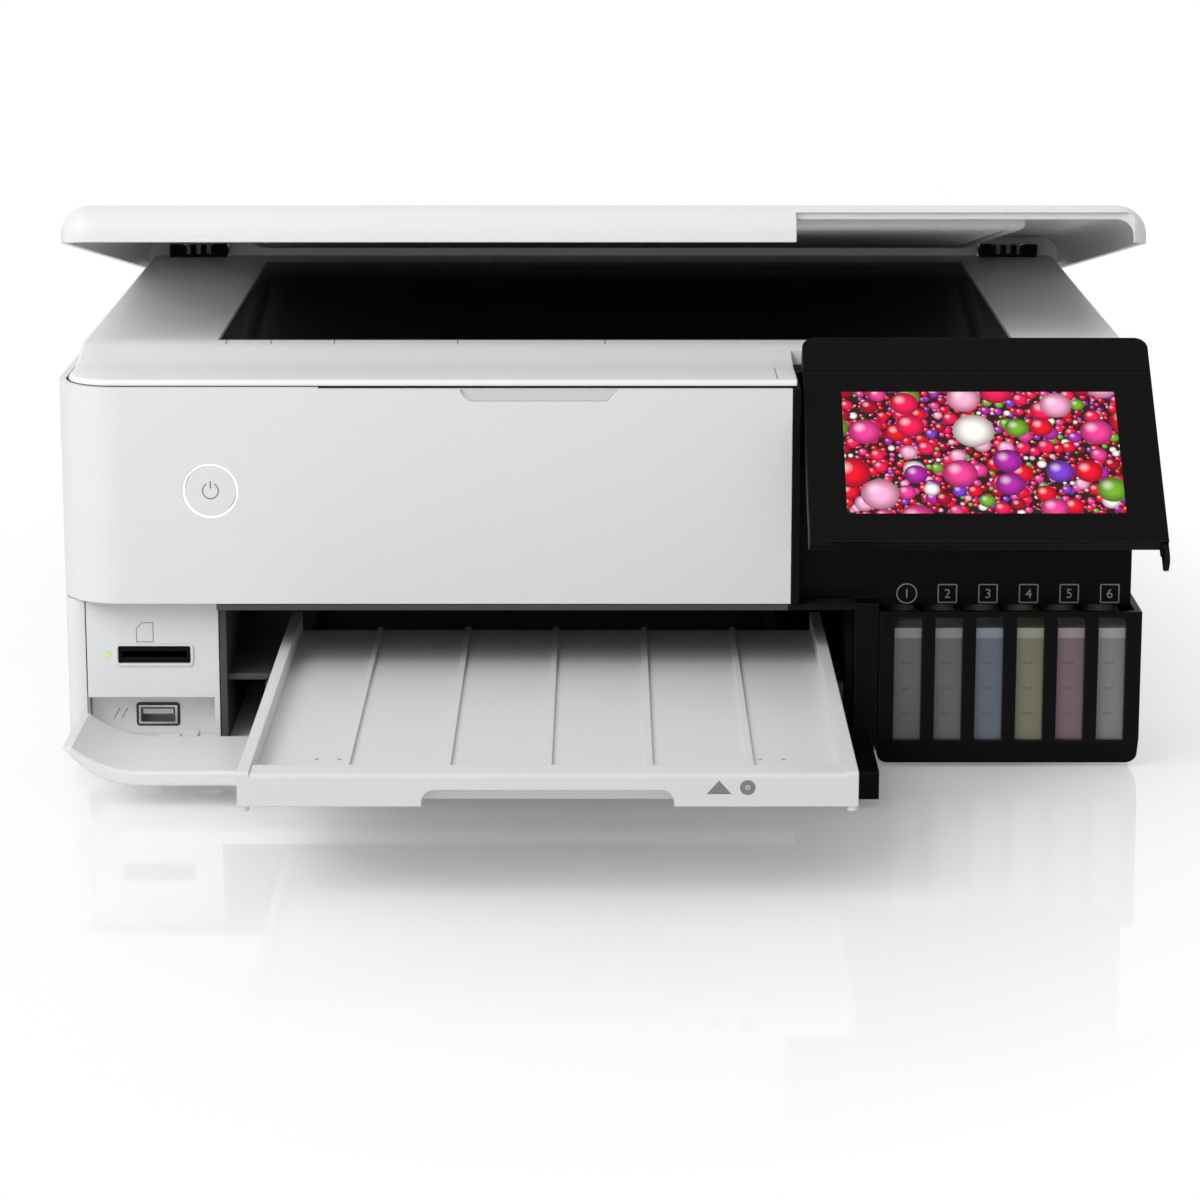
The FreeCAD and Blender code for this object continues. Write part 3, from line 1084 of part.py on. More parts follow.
def build_scanner():
    back_y = bed_back
    low_y = front + d.bed_setback
    block = box("bed_block", (-bed_half, bed_half), (low_y, back_y), (bed_bottom, bed_top))
    block = rounded("bed_corners", block, d.bed_corner, {"x": -bed_half, "y": low_y},
                    {"x": bed_half, "y": low_y})
    shelf = box("bed_shelf", (-half, half), (low_y - d.overcut, low_y + d.shelf_deep),
                (bed_top - d.shelf_drop, lid_top))
    ramp = box("bed_ramp", (-half, half), (low_y + d.shelf_deep, low_y + d.shelf_deep * 2),
               (bed_top - d.shelf_drop, lid_top))
    block = cut("bed_stepped", block, shelf, lean(ramp, d.ramp_rise))
    ramp_run = float(d.shelf_drop) / math.tan(math.radians(float(d.ramp_rise)))
    block = rounded("bed_ramp_foot", block, d.ramp_foot,
                    {"y": low_y + d.shelf_deep, "z": bed_top - d.shelf_drop})
    block = rounded("bed_ramp_head", block, d.ramp_head, {"y": low_y + d.shelf_deep + ramp_run, "z": bed_top})
    block = rounded("bed_rolled", block, d.bed_roll, {"y": low_y, "z": bed_top - d.shelf_drop})
    notch = box("bed_notch", (panel_edge + d.seam * 4, half), (front - d.overcut, front + d.notch_deep),
                (pan_bottom - d.overcut, lid_top))
    glass_x = (-bed_half + d.bed_left, -bed_half + d.bed_left + d.glass_wide)
    glass_y = (front + d.bed_front, front + d.bed_front + d.glass_long)
    glass_z = (bed_top - d.glass_thick, bed_top)
    seat = box("glass_seat", glass_x, glass_y, (glass_z[0], lid_top))
    light = box("glass_light", (glass_x[0] + d.glass_ledge, glass_x[1] - d.glass_ledge),
                (glass_y[0] + d.glass_ledge, glass_y[1] - d.glass_ledge),
                (bed_bottom - d.overcut, lid_top))
    ears = []
    for side in (-1, 1):
        middle = hinge_place * side
        for name, low in (("near", middle - d.hinge_arm / 2 - d.side_gap - d.hinge_ear),
                          ("far", middle + d.hinge_arm / 2 + d.side_gap)):
            ears.append(box(f"lid_ear_{name}", (low, low + d.hinge_ear),
                            (back_y - d.wall, lid_axis_y + d.hinge_boss),
                            (bed_bottom, lid_axis_z + d.hinge_boss)))
        reach = d.hinge_arm / 2 + d.side_gap + d.hinge_ear
        ears.append(rod("lid_pin", "x", d.pin_radius, (middle - reach, middle + reach),
                        (lid_axis_y, lid_axis_z)))
    keep(fuse("scanner_bed", cut("bed_open", block, notch, seat, light), *ears))
    keep(box("scanner_glass", glass_x, glass_y, glass_z))
    build_scanner_pan(back_y)
    sensor_y = (glass_y[0] + d.glass_ledge + d.sensor_end_gap,
                glass_y[1] - d.glass_ledge - d.sensor_end_gap)
    sensor_z = (glass_z[0] - d.sensor_clear - d.sensor_tall, glass_z[0] - d.sensor_clear)
    sensor_x = glass_x[0] + d.glass_ledge + d.sensor_home
    bar = box("sensor_block", (sensor_x, sensor_x + d.sensor_wide), sensor_y, sensor_z)
    rail_at = ((glass_y[0] + glass_y[1]) / 2, sensor_z[0] + d.sensor_rail_radius * 2)
    slide = rod("sensor_bore", "x", d.sensor_rail_radius + d.running, (-half, half), rail_at)
    keep(cut("sensor_bar", bar, slide))
    keep(rod("sensor_rail", "x", d.sensor_rail_radius,
             (-bed_half + d.pan_inset + d.pan_skin, bed_half - d.pan_inset - d.pan_skin), rail_at))


def build_scanner_pan(back_y):
    x = (-bed_half + d.pan_inset, bed_half - d.pan_inset)
    y = (front + d.pan_setback, back_y)
    block = box("pan_block", x, y, (pan_bottom, bed_bottom))
    block = rounded("pan_block_round", block, d.bed_corner, {"x": x[0], "y": y[0]})
    room = box("pan_room", (x[0] + d.pan_skin, x[1] - d.pan_skin), (y[0] + d.pan_skin, y[1] - d.pan_skin),
               (pan_bottom + d.pan_skin, bed_bottom + d.overcut))
    room = rounded("pan_room_round", room, d.bed_corner - d.pan_skin,
                   {"x": x[0] + d.pan_skin, "y": y[0] + d.pan_skin})
    corner_low = panel_edge - d.seam
    corner = box("pan_corner", (corner_low, half), (front, front + d.notch_deep),
                 (pan_bottom - d.overcut, bed_bottom + d.overcut))
    wall = box("pan_corner_wall", (corner_low - d.pan_skin, x[1]),
               (y[0], front + d.notch_deep + d.pan_skin), (pan_bottom, bed_bottom))
    shell = cut("pan_shell", fuse("pan_walls", cut("pan_hollow", block, room), wall), corner)
    ears = []
    for side in (-1, 1):
        low = lift_inner(side)
        ears.append(box("lift_ear", (low, low + d.lift_ear), (back_y - d.pan_skin, lift_axis_y),
                        (lift_axis_z - d.lift_boss, lift_axis_z + d.lift_boss)))
        ears.append(rod("lift_ear_end", "x", d.lift_boss, (low, low + d.lift_ear),
                        (lift_axis_y, lift_axis_z)))
    bore = rod("lift_ear_bore", "x", d.pin_radius + d.running, (-half, half), (lift_axis_y, lift_axis_z))
    keep(cut("scanner_pan", fuse("pan_body", shell, *ears), bore))


def build_lid():
    low_y = front + d.lid_front
    back_y = lid_axis_y + d.lid_rear
    side_x = half + d.lid_over
    block = box("lid_block", (-side_x, side_x), (low_y, back_y), (lid_rim, lid_top))
    block = rounded("lid_corners", block, d.lid_corner, {"x": -side_x, "y": low_y}, {"x": side_x, "y": low_y})
    block = rounded("lid_soft", block, d.lid_roll, {"z": lid_top})
    inner_x = side_x - d.wall
    room = box("lid_room", (-inner_x, inner_x), (low_y + d.wall, back_y + d.wall),
               (lid_rim - d.overcut, lid_top - d.lid_skin))
    room = rounded("lid_room_corners", room, d.lid_corner - d.wall,
                   {"x": -inner_x, "y": low_y + d.wall}, {"x": inner_x, "y": low_y + d.wall})
    room = rounded("lid_room_soft", room, d.lid_roll - d.wall, {"z": lid_top - d.lid_skin})
    gate = box("lid_gate", (panel_edge + d.gate_inset, inner_x - d.wall),
               (low_y - d.overcut, low_y + d.wall * 2), (lid_rim - d.overcut, lid_top - d.lid_skin))
    # The rim clears the bed's front shelf and falls towards the hinge.
    trim = box("lid_trim", (-side_x - d.overcut, side_x + d.overcut), (low_y - d.overcut, back_y + d.overcut),
               (lid_rim - d.overcut, bed_top - d.shelf_drop + d.mat_clear + d.side_gap))
    trim = lean(trim, -d.lid_fall)
    ear_reach = d.hinge_arm / 2 + d.hinge_ear + d.side_gap * 2
    wall_y = (lid_axis_y - d.hinge_boss - d.wall, lid_axis_y - d.hinge_boss)
    rib_z = (lid_axis_z - d.wall, lid_top - d.lid_skin)
    over_ears = (lid_axis_z + d.hinge_boss + d.side_gap, lid_top - d.lid_skin)
    arms = [
        box("lid_rib", (-hinge_place + ear_reach, hinge_place - ear_reach), wall_y, rib_z),
        box("lid_rib_left", (-inner_x, -hinge_place - ear_reach), wall_y, rib_z),
        box("lid_rib_right", (hinge_place + ear_reach, inner_x), wall_y, rib_z),
        box("lid_rib_over_ears", (-inner_x, inner_x), wall_y, over_ears),
    ]
    for side in (-1, 1):
        x = (hinge_place * side - d.hinge_arm / 2, hinge_place * side + d.hinge_arm / 2)
        arms.append(box("lid_arm", x, (lid_axis_y - d.hinge_boss, lid_axis_y + d.lid_rear),
                        (lid_axis_z, lid_top - d.lid_skin)))
        arms.append(rod("lid_arm_end", "x", d.hinge_boss - d.side_gap, x, (lid_axis_y, lid_axis_z)))
    bore = rod("lid_bore", "x", d.pin_radius + d.running, (-inner_x, inner_x), (lid_axis_y, lid_axis_z))
    cover = cut("lid_cover", fuse("lid_body", cut("lid_shell", block, room, gate, trim), *arms), bore)
    keep(tilt(cover, -d.lid_open, lid_axis_y, lid_axis_z))
    glass_low = -bed_half + d.bed_left
    mat = box("mat_block", (glass_low - d.mat_margin, glass_low + d.glass_wide + d.mat_margin),
              (front + d.bed_front - d.mat_margin, front + d.bed_front + d.glass_long + d.mat_margin),
              (bed_top + d.mat_clear, lid_top - d.lid_skin))
    mat = rounded("lid_mat", mat, d.edge_soft, {"z": bed_top + d.mat_clear})
    keep(tilt(mat, -d.lid_open, lid_axis_y, lid_axis_z))


def inlet_place():
    return -half + d.inlet_left, floor_top + d.inlet_up


def build_electrics():
    low = -half + d.wall * 2 + d.seam * 2
    y_high = rear - d.supply_rear
    keep(box("power_supply", (low, low + d.supply_wide), (y_high - d.supply_deep, y_high),
             (floor_top, floor_top + d.supply_tall)))
    wall_x = -half + d.wall
    board_x = wall_x + d.post_long
    board_y = (y_high - d.board_long, y_high)
    board_z = (d.board_up, d.board_up + d.board_tall)
    board = box("board_sheet", (board_x, board_x + d.board_thick), board_y, board_z)
    posts = []
    for y in (board_y[0] + d.post_radius * 2, board_y[1] - d.post_radius * 2):
        for z in (board_z[0] + d.post_radius * 2, board_z[1] - d.post_radius * 2):
            posts.append(rod("board_post", "x", d.post_radius, (wall_x, board_x), (y, z)))
    keep(fuse("main_board", board, *posts))
    x, z = inlet_place()
    block = box("inlet_block", (x, x + d.inlet_wide), (rear - d.inlet_deep, rear), (z, z + d.inlet_tall))
    room = box("inlet_room", (x + d.inlet_skin, x + d.inlet_wide - d.inlet_skin),
               (rear - d.inlet_deep + d.inlet_skin, rear + d.overcut),
               (z + d.inlet_skin, z + d.inlet_tall - d.inlet_skin))
    prongs = []
    for side in (-1, 1):
        prongs.append(rod("prong", "y", d.prong_radius, (rear - d.inlet_deep, rear - d.inlet_skin),
                          (x + d.inlet_wide / 2 + d.prong_spread * side, z + d.inlet_tall / 2)))
    keep(fuse("power_inlet", cut("inlet_shell", block, room), *prongs))


def check_and_write():
    """Stops on any failed feature or bad solid, then writes one file for each sub-part."""
    doc.recompute()
    bad = [item.Label for item in doc.Objects if "Invalid" in item.State or "Error" in item.State]
    bad += [item.Label for item in parts if item.Shape.isNull() or not item.Shape.isValid()]
    bad += [item.Label for item in parts if not item.Shape.Solids]
    if bad:
        raise RuntimeError("failed: " + ", ".join(bad))
    os.makedirs("parts", exist_ok=True)
    for item in parts:
        item.Shape.exportStep(f"parts/{item.Label}.step")
    print(len(parts), "sub-parts written")


build_base()
build_sides()
build_rear()
build_front_panel()
build_fascia()
build_control_panel()
build_hinge_pins()
build_bay()
build_card_panel()
build_front_cover()
build_tray()
build_tanks()
build_mechanism()
build_feed()
build_scanner()
build_lid()
build_electrics()
check_and_write()
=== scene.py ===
import json
import math

import bmesh
import bpy
import numpy as np
from bpy.props import FloatProperty, FloatVectorProperty, PointerProperty
from bpy.types import Operator, Panel, PropertyGroup
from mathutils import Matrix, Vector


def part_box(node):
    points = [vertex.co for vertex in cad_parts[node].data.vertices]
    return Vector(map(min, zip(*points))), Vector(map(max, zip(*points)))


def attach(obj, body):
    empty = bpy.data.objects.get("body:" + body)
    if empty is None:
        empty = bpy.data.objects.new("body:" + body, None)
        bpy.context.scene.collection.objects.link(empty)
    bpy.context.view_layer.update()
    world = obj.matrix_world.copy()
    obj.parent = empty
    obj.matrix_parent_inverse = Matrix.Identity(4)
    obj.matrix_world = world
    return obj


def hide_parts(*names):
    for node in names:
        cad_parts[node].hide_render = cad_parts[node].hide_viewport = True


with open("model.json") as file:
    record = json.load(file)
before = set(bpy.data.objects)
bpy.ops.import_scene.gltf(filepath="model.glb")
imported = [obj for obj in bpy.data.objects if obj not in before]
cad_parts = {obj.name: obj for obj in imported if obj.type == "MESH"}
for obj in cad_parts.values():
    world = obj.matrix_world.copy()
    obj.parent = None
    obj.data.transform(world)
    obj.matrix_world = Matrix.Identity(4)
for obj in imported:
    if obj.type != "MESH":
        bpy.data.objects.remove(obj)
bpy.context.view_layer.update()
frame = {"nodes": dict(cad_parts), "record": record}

bl_info = {
    "name": "Tank printer looks",
    "version": (1, 0, 0),
    "blender": (4, 5, 0),
    "location": "3D View > Sidebar > Printer",
    "description": "Finishes, marks and lid pad of an all-in-one ink tank printer",
    "category": "Object",
}

MM = 0.001
# How far a printed mark reaches under its face.
SUNK = 0.04 * MM
NODE_SLOT = {part["node"]: part["material_slot"] for part in frame["record"]["subparts"]}

# Hinge lines, as y and z, and rest angles of the two tilted bodies, as the frame holds them.
LID_AXIS = (0.2105, 0.1504)
LID_TURN = math.radians(9.35)
PANEL_AXIS = (-0.0910, 0.1304)
PANEL_TURN = math.radians(50.0)


def length(label, text, default):
    """A size that a user may change, in metres."""
    return FloatProperty(name=label, description=text, default=default, min=0.0, unit="LENGTH", precision=5)


def tint(label, text, default):
    """A colour that a user may change."""
    return FloatVectorProperty(name=label, description=text, default=default, size=3, min=0.0, max=1.0,
                               subtype="COLOR")


def amount(label, text, default, high=1.0):
    """A plain number that a user may change."""
    return FloatProperty(name=label, description=text, default=default, min=0.0, max=high, subtype="FACTOR")


class CasingLooks(PropertyGroup):
    """Colours and surface of the moulded parts."""
    white: tint("White", "Colour of the outer casing", (0.76, 0.765, 0.775))
    # Painted light: the bed white is a lighter copy of the casing white, standing in for light on the bed.
    bed: tint("Bed white", "Colour of the scanner bed", (0.85, 0.855, 0.865))
    tray: tint("Tray white", "Colour of the output tray", (0.68, 0.685, 0.695))
    black: tint("Black", "Colour of the control panel and tank block", (0.0045, 0.0045, 0.0048))
    dark: tint("Dark grey", "Colour of the paper path", (0.085, 0.085, 0.087))
    grain: FloatProperty(name="Grain", description="Moulded grain cells in a metre", default=1500.0,
                         min=10.0)
    relief: amount("Relief", "Strength of the moulded grain", 0.10)
    soft: length("Soft edge", "Radius that the light sees on moulded edges", 0.0006)


class MarkSizes(PropertyGroup):
    """Sizes and colours of the printed marks."""
    line: length("Line", "Width of a printed line", 0.00042)
    rise: length("Rise", "Height of a printed mark over its face", 0.00006)
    label: length("Tank label", "Side of the frame round a tank number", 0.0068)
    digit: length("Tank number", "Height of a tank number", 0.0050)
    power: length("Power mark", "Radius of the power mark", 0.0029)
    tick: length("Size tick", "Length of a paper size tick", 0.0060)
    bend: length("Bed bend", "Radius of the bed's bend before the glass", 0.025)
    grey: tint("Mark grey", "Colour of marks on white parts", (0.24, 0.24, 0.25))
    pale: tint("Mark pale", "Colour of marks on black parts", (0.42, 0.42, 0.43))


class ScreenLooks(PropertyGroup):
    """The picture that the display shows."""
    glow: amount("Glow", "Strength of the display", 1.1, 4.0)
    cells: FloatProperty(name="Cells", description="Large beads across the display", default=6.0, min=1.0)


class TankLooks(PropertyGroup):
    """Ink tanks behind the windows."""
    level: length("Ink level", "Height of the ink over the floor", 0.0500)
    first: tint("Tank 1", "Colour seen in tank 1", (0.115, 0.115, 0.118))
    second: tint("Tank 2", "Colour seen in tank 2", (0.125, 0.125, 0.128))
    third: tint("Tank 3", "Colour seen in tank 3", (0.120, 0.145, 0.200))
    fourth: tint("Tank 4", "Colour seen in tank 4", (0.205, 0.200, 0.120))
    fifth: tint("Tank 5", "Colour seen in tank 5", (0.195, 0.120, 0.145))
    sixth: tint("Tank 6", "Colour seen in tank 6", (0.225, 0.225, 0.225))


class PadSizes(PropertyGroup):
    """The document pad under the lid."""
    corner: length("Corner", "Corner radius of the pad", 0.006)
    edge: length("Edge", "Radius of the pad's rolled edge", 0.0022)
    crown: length("Crown", "Fullness of the pad in its middle", 0.0004)
    welt: length("Welt", "Depth of the pressed line along the pad's edge", 0.0006)
    colour: tint("Pad", "Colour of the pad", (0.80, 0.775, 0.75))


class StageLooks(PropertyGroup):
    """Floor, light and camera."""
    floor: tint("Floor", "Colour of the floor", (0.95, 0.95, 0.95))
    fill: amount("Fill", "Light from all round", 0.50, 4.0)
    key: FloatProperty(name="Key", description="Main soft lamp", default=28.0, min=0.0, unit="POWER")
    low: FloatProperty(name="Low", description="Low soft lamp in front", default=4.5, min=0.0, unit="POWER")
    top: FloatProperty(name="Top", description="Overhead soft lamp", default=4.0, min=0.0, unit="POWER")
    lens: FloatProperty(name="Lens", description="Focal length of the camera", default=116.4, min=1.0,
                        unit="CAMERA")


class Face:
    """A flat face of the printer: u runs right, v runs up it and h stands out of it."""

    def __init__(self, origin, up):
        self.origin = np.array(origin, dtype=float)
        self.right = np.array((1.0, 0.0, 0.0))
        self.up = np.array(up, dtype=float)
        self.out = np.cross(self.right, self.up)

    def place(self, points):
        """Origin plus u times right plus v times up plus h times out, for a whole array."""
        return self.origin + points @ np.stack((self.right, self.up, self.out))


def front_face(y):
    """An upright face that looks forward, at this depth."""
    return Face((0.0, y, 0.0), (0.0, 0.0, 1.0))


def level_face(z):
    """A level face that looks up, at this height."""
    return Face((0.0, 0.0, z), (0.0, 1.0, 0.0))


def panel_face():
    """The control panel's front face: v is the height that a point has with the panel upright."""
    up = np.array((0.0, math.sin(PANEL_TURN), math.cos(PANEL_TURN)))
    out = np.array((0.0, -math.cos(PANEL_TURN), math.sin(PANEL_TURN)))
    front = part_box("front_panel")[0][1]
    origin = np.array((0.0, PANEL_AXIS[0], PANEL_AXIS[1])) + out * (PANEL_AXIS[0] - front)
    return Face(origin - up * PANEL_AXIS[1], up)


def turned_with_lid(points):
    """Turns points of the closed lid about its hinge line to the angle that it rests at."""
    y = points[:, 1] - LID_AXIS[0]
    z = points[:, 2] - LID_AXIS[1]
    turned = points.copy()
    turned[:, 1] = LID_AXIS[0] + y * math.cos(LID_TURN) + z * math.sin(LID_TURN)
    turned[:, 2] = LID_AXIS[1] - y * math.sin(LID_TURN) + z * math.cos(LID_TURN)
    return turned


def grid_quads(rows, columns, wrap_rows):
    """Quads between neighbouring cells of a grid whose columns close on themselves."""
    row = np.arange(rows if wrap_rows else rows - 1)[:, None]
    column = np.arange(columns)[None, :]
    after = (row + 1) % rows
    beside = (column + 1) % columns
    quads = (row * columns + column, row * columns + beside,
             after * columns + beside, after * columns + column)
    return np.stack(quads, axis=-1).reshape(-1, 4).tolist()


def drawn_line(path, width, rise, closed=False):
    """A printed line: each path point carries the four corners of a flat section, half the width to
    either side along the mean normal, stretched by the bend so that square corners stay square."""
    path = np.asarray(path, dtype=float)
    step = np.roll(path, -1, axis=0) - path
    if not closed:
        step[-1] = step[-2]
    step /= np.linalg.norm(step, axis=1, keepdims=True)
    before = np.roll(step, 1, axis=0)
    if not closed:
        before[0] = step[0]
    normal = np.stack((-step[:, 1], step[:, 0]), axis=1)
    side = normal + np.stack((-before[:, 1], before[:, 0]), axis=1)
    side /= np.linalg.norm(side, axis=1, keepdims=True)
    side /= np.sum(side * normal, axis=1, keepdims=True)
    across = np.array((-0.5, -0.5, 0.5, 0.5)) * width
    height = np.array((-SUNK, rise, rise, -SUNK))
    flat = path[:, None, :] + side[:, None, :] * across[None, :, None]
    points = np.concatenate((flat, np.broadcast_to(height[None, :, None], flat.shape[:2] + (1,))), axis=2)
    count = len(path)
    faces = grid_quads(count, 4, closed)
    if not closed:
        last = (count - 1) * 4
        faces += [[0, 1, 2, 3], [last + 3, last + 2, last + 1, last]]
    return points.reshape(-1, 3), faces


def filled_shape(outline, rise, centre=None, soft=0.94):
    """A printed patch: the outline shrunk by shares towards its centre, on a grid of share and place
    along it, from the sunk middle out to the rim, up and back to the raised middle."""
    outline = np.asarray(outline, dtype=float)
    centre = outline.mean(axis=0) if centre is None else np.asarray(centre, dtype=float)
    share = np.array((0.0, 1.0, 1.0, soft, 0.0))
    height = np.array((-SUNK, -SUNK, rise * 0.6, rise, rise))
    flat = centre + share[:, None, None] * (outline - centre)[None]
    points = np.concatenate((flat, np.broadcast_to(height[:, None, None], flat.shape[:2] + (1,))), axis=2)
    return points.reshape(-1, 3), grid_quads(len(share), len(outline), False)


def arc(centre, radius, start, stop, count):
    """Points of a circle's arc: centre plus radius times cosine and sine of evenly spaced angles."""
    turn = np.radians(np.linspace(start, stop, count))
    return np.array(centre) + radius * np.stack((np.cos(turn), np.sin(turn)), axis=1)


def circle(centre, radius, count=48):
    """An arc all the way round, without its last point."""
    return arc(centre, radius, 0.0, 360.0, count + 1)[:-1]


def round_rectangle(low, high, radius, count=8):
    """Four quarter arcs, one in each corner, joined in order round the rectangle."""
    corners = ((high[0] - radius, high[1] - radius, 0), (low[0] + radius, high[1] - radius, 90),
               (low[0] + radius, low[1] + radius, 180), (high[0] - radius, low[1] + radius, 270))
    return np.concatenate([arc((u, v), radius, turn, turn + 90, count) for u, v, turn in corners])


def digits(text, middle, size, rise):
    """Flat figures made a mesh, then moved so that their box has this middle."""
    curve = bpy.data.curves.new("figure", "FONT")
    curve.body = text
    curve.size = size
    curve.extrude = rise / 2
    holder = bpy.data.objects.new("figure", curve)
    bpy.context.scene.collection.objects.link(holder)
    graph = bpy.context.evaluated_depsgraph_get()
    mesh = bpy.data.meshes.new_from_object(holder.evaluated_get(graph))
    points = np.empty(len(mesh.vertices) * 3)
    mesh.vertices.foreach_get("co", points)
    points = points.reshape(-1, 3)
    faces = [list(face.vertices) for face in mesh.polygons]
    bpy.data.objects.remove(holder)
    bpy.data.curves.remove(curve)
    bpy.data.meshes.remove(mesh)
    box_middle = (points.min(axis=0) + points.max(axis=0)) / 2
    points[:, :2] += np.array(middle) - box_middle[:2]
    points[:, 2] += rise / 2
    return points, faces


def joined(shapes):
    """Stacks several shapes, each one's faces counted on from the points before it."""
    points, faces, start = [], [], 0
    for shape_points, shape_faces in shapes:
        points.append(shape_points)
        faces += [[start + corner for corner in face] for face in shape_faces]
        start += len(shape_points)
    return np.concatenate(points), faces


def add_piece(name, points, faces, body, material, smooth=False):
    """Puts a surface into a mesh at its own place, closes its seams, turns its faces outwards."""
    mesh = bpy.data.meshes.new(name)
    mesh.from_pydata(points.tolist(), [], faces)
    work = bmesh.new()
    work.from_mesh(mesh)
    bmesh.ops.remove_doubles(work, verts=work.verts, dist=1e-7)
    bmesh.ops.dissolve_degenerate(work, edges=work.edges, dist=1e-8)
    bmesh.ops.recalc_face_normals(work, faces=work.faces)
    work.to_mesh(mesh)
    work.free()
    mesh.polygons.foreach_set("use_smooth", [smooth] * len(mesh.polygons))
    mesh.materials.append(material)
    piece = bpy.data.objects.new(name, mesh)
    bpy.context.scene.collection.objects.link(piece)
    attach(piece, body)
    return piece


def put(tree, kind, sockets=None, **settings):
    """Adds a node, sets its settings, then links or sets its sockets."""
    made = tree.nodes.new(kind)
    for name, value in settings.items():
        setattr(made, name, value)
    for name, value in (sockets or {}).items():
        if isinstance(value, bpy.types.NodeSocket):
            tree.links.new(value, made.inputs[name])
        else:
            made.inputs[name].default_value = value
    return made


def maths(tree, operation, first, second=0.0, clamp=False):
    """One sum of two values."""
    return put(tree, "ShaderNodeMath", {0: first, 1: second}, operation=operation,
               use_clamp=clamp).outputs[0]


def blended(tree, share, first, second, blend="MIX"):
    """Mixes two colours by a share."""
    return put(tree, "ShaderNodeMix", {0: share, 6: first, 7: second}, data_type="RGBA",
               blend_type=blend).outputs[2]


def noise(tree, vector, scale, detail=2.0, rough=0.5):
    """Noise over a vector."""
    return put(tree, "ShaderNodeTexNoise", {"Vector": vector, "Scale": scale, "Detail": detail,
                                            "Roughness": rough}).outputs[0]


def rgba(colour):
    """A colour with full alpha."""
    return (colour[0], colour[1], colour[2], 1.0)


def own_group(name, inputs, outputs):
    """Starts a node group with named sockets, or gives None where it exists."""
    if name in bpy.data.node_groups:
        return None
    tree = bpy.data.node_groups.new(name, "ShaderNodeTree")
    for label, kind, default in inputs:
        tree.interface.new_socket(name=label, in_out="INPUT", socket_type=kind).default_value = default
    for label, kind in outputs:
        tree.interface.new_socket(name=label, in_out="OUTPUT", socket_type=kind)
    return tree


NUMBER = "NodeSocketFloat"
COLOUR = "NodeSocketColor"
VECTOR = "NodeSocketVector"


def grain_group():
    """Moulded grain: fine noise gives the height, fine and broad noise together darken the colour
    and raise the roughness a little, as mould texture and flow do."""
    name = "moulded_grain"
    tree = own_group(name, (("Colour", COLOUR, (1, 1, 1, 1)), ("Mottle", NUMBER, 0.04),
                            ("Grain", NUMBER, 1500.0), ("Matt", NUMBER, 0.45),
                            ("Matt change", NUMBER, 0.10)),
                     (("Colour", COLOUR), ("Roughness", NUMBER), ("Height", NUMBER)))
    if tree:
        given = put(tree, "NodeGroupInput").outputs
        place = put(tree, "ShaderNodeTexCoord").outputs["Object"]
        fine = noise(tree, place, given["Grain"], 2.0, 0.6)
        broad = noise(tree, place, 9.0, 3.0, 0.55)
        both = maths(tree, "ADD", maths(tree, "MULTIPLY", fine, 0.5), maths(tree, "MULTIPLY", broad, 0.5))
        dim = maths(tree, "SUBTRACT", 1.0, maths(tree, "MULTIPLY", both, given["Mottle"]))
        shade = put(tree, "ShaderNodeCombineColor", {0: dim, 1: dim, 2: dim}).outputs[0]
        change = maths(tree, "MULTIPLY", maths(tree, "SUBTRACT", both, 0.5), given["Matt change"])
        put(tree, "NodeGroupOutput", {"Colour": blended(tree, 1.0, given["Colour"], shade, "MULTIPLY"),
                                      "Roughness": maths(tree, "ADD", given["Matt"], change, True),
                                      "Height": fine})
    return bpy.data.node_groups[name]


def edge_group():
    """Moulded edges: the normal is smoothed over a radius, and where it then differs from the true
    normal the mask shows an edge."""
    name = "moulded_edges"
    tree = own_group(name, (("Radius", NUMBER, 0.0006),), (("Normal", VECTOR), ("Edge", NUMBER)))
    if tree:
        given = put(tree, "NodeGroupInput").outputs
        smooth = put(tree, "ShaderNodeBevel", {"Radius": given["Radius"]}, samples=4).outputs[0]
        true = put(tree, "ShaderNodeNewGeometry").outputs["Normal"]
        alike = put(tree, "ShaderNodeVectorMath", {0: smooth, 1: true},
                    operation="DOT_PRODUCT").outputs["Value"]
        edge = maths(tree, "MULTIPLY", maths(tree, "SUBTRACT", 1.0, alike), 3.0, True)
        put(tree, "NodeGroupOutput", {"Normal": smooth, "Edge": edge})
    return bpy.data.node_groups[name]


def brush_group():
    """Rolled sheet: noise stretched along one axis gives long fine lines and a soft blotch."""
    name = "rolled_lines"
    tree = own_group(name, (("Colour", COLOUR, (1, 1, 1, 1)), ("Matt", NUMBER, 0.35)),
                     (("Colour", COLOUR), ("Roughness", NUMBER), ("Height", NUMBER)))
    if tree:
        given = put(tree, "NodeGroupInput").outputs
        place = put(tree, "ShaderNodeTexCoord").outputs["Object"]
        stretched = put(tree, "ShaderNodeMapping",
                        {"Vector": place, "Scale": (12.0, 900.0, 900.0)}).outputs[0]
        lines = noise(tree, stretched, 1.0, 3.0, 0.6)
        blotch = noise(tree, place, 45.0, 2.0)
        dim = maths(tree, "ADD", 0.82, maths(tree, "MULTIPLY", blotch, 0.30))
        shade = put(tree, "ShaderNodeCombineColor", {0: dim, 1: dim, 2: dim}).outputs[0]
        put(tree, "NodeGroupOutput", {"Colour": blended(tree, 1.0, given["Colour"], shade, "MULTIPLY"),
                                      "Roughness": maths(tree, "ADD", given["Matt"],
                                                         maths(tree, "MULTIPLY", lines, 0.2)),
                                      "Height": lines})
    return bpy.data.node_groups[name]


def blank(name):
    """A new material with only a principled shader and its output."""
    material = bpy.data.materials.new(name)
    material.use_nodes = True
    tree = material.node_tree
    tree.nodes.clear()
    shader = put(tree, "ShaderNodeBsdfPrincipled")
    put(tree, "ShaderNodeOutputMaterial", {"Surface": shader.outputs[0]})
    return material, tree, shader


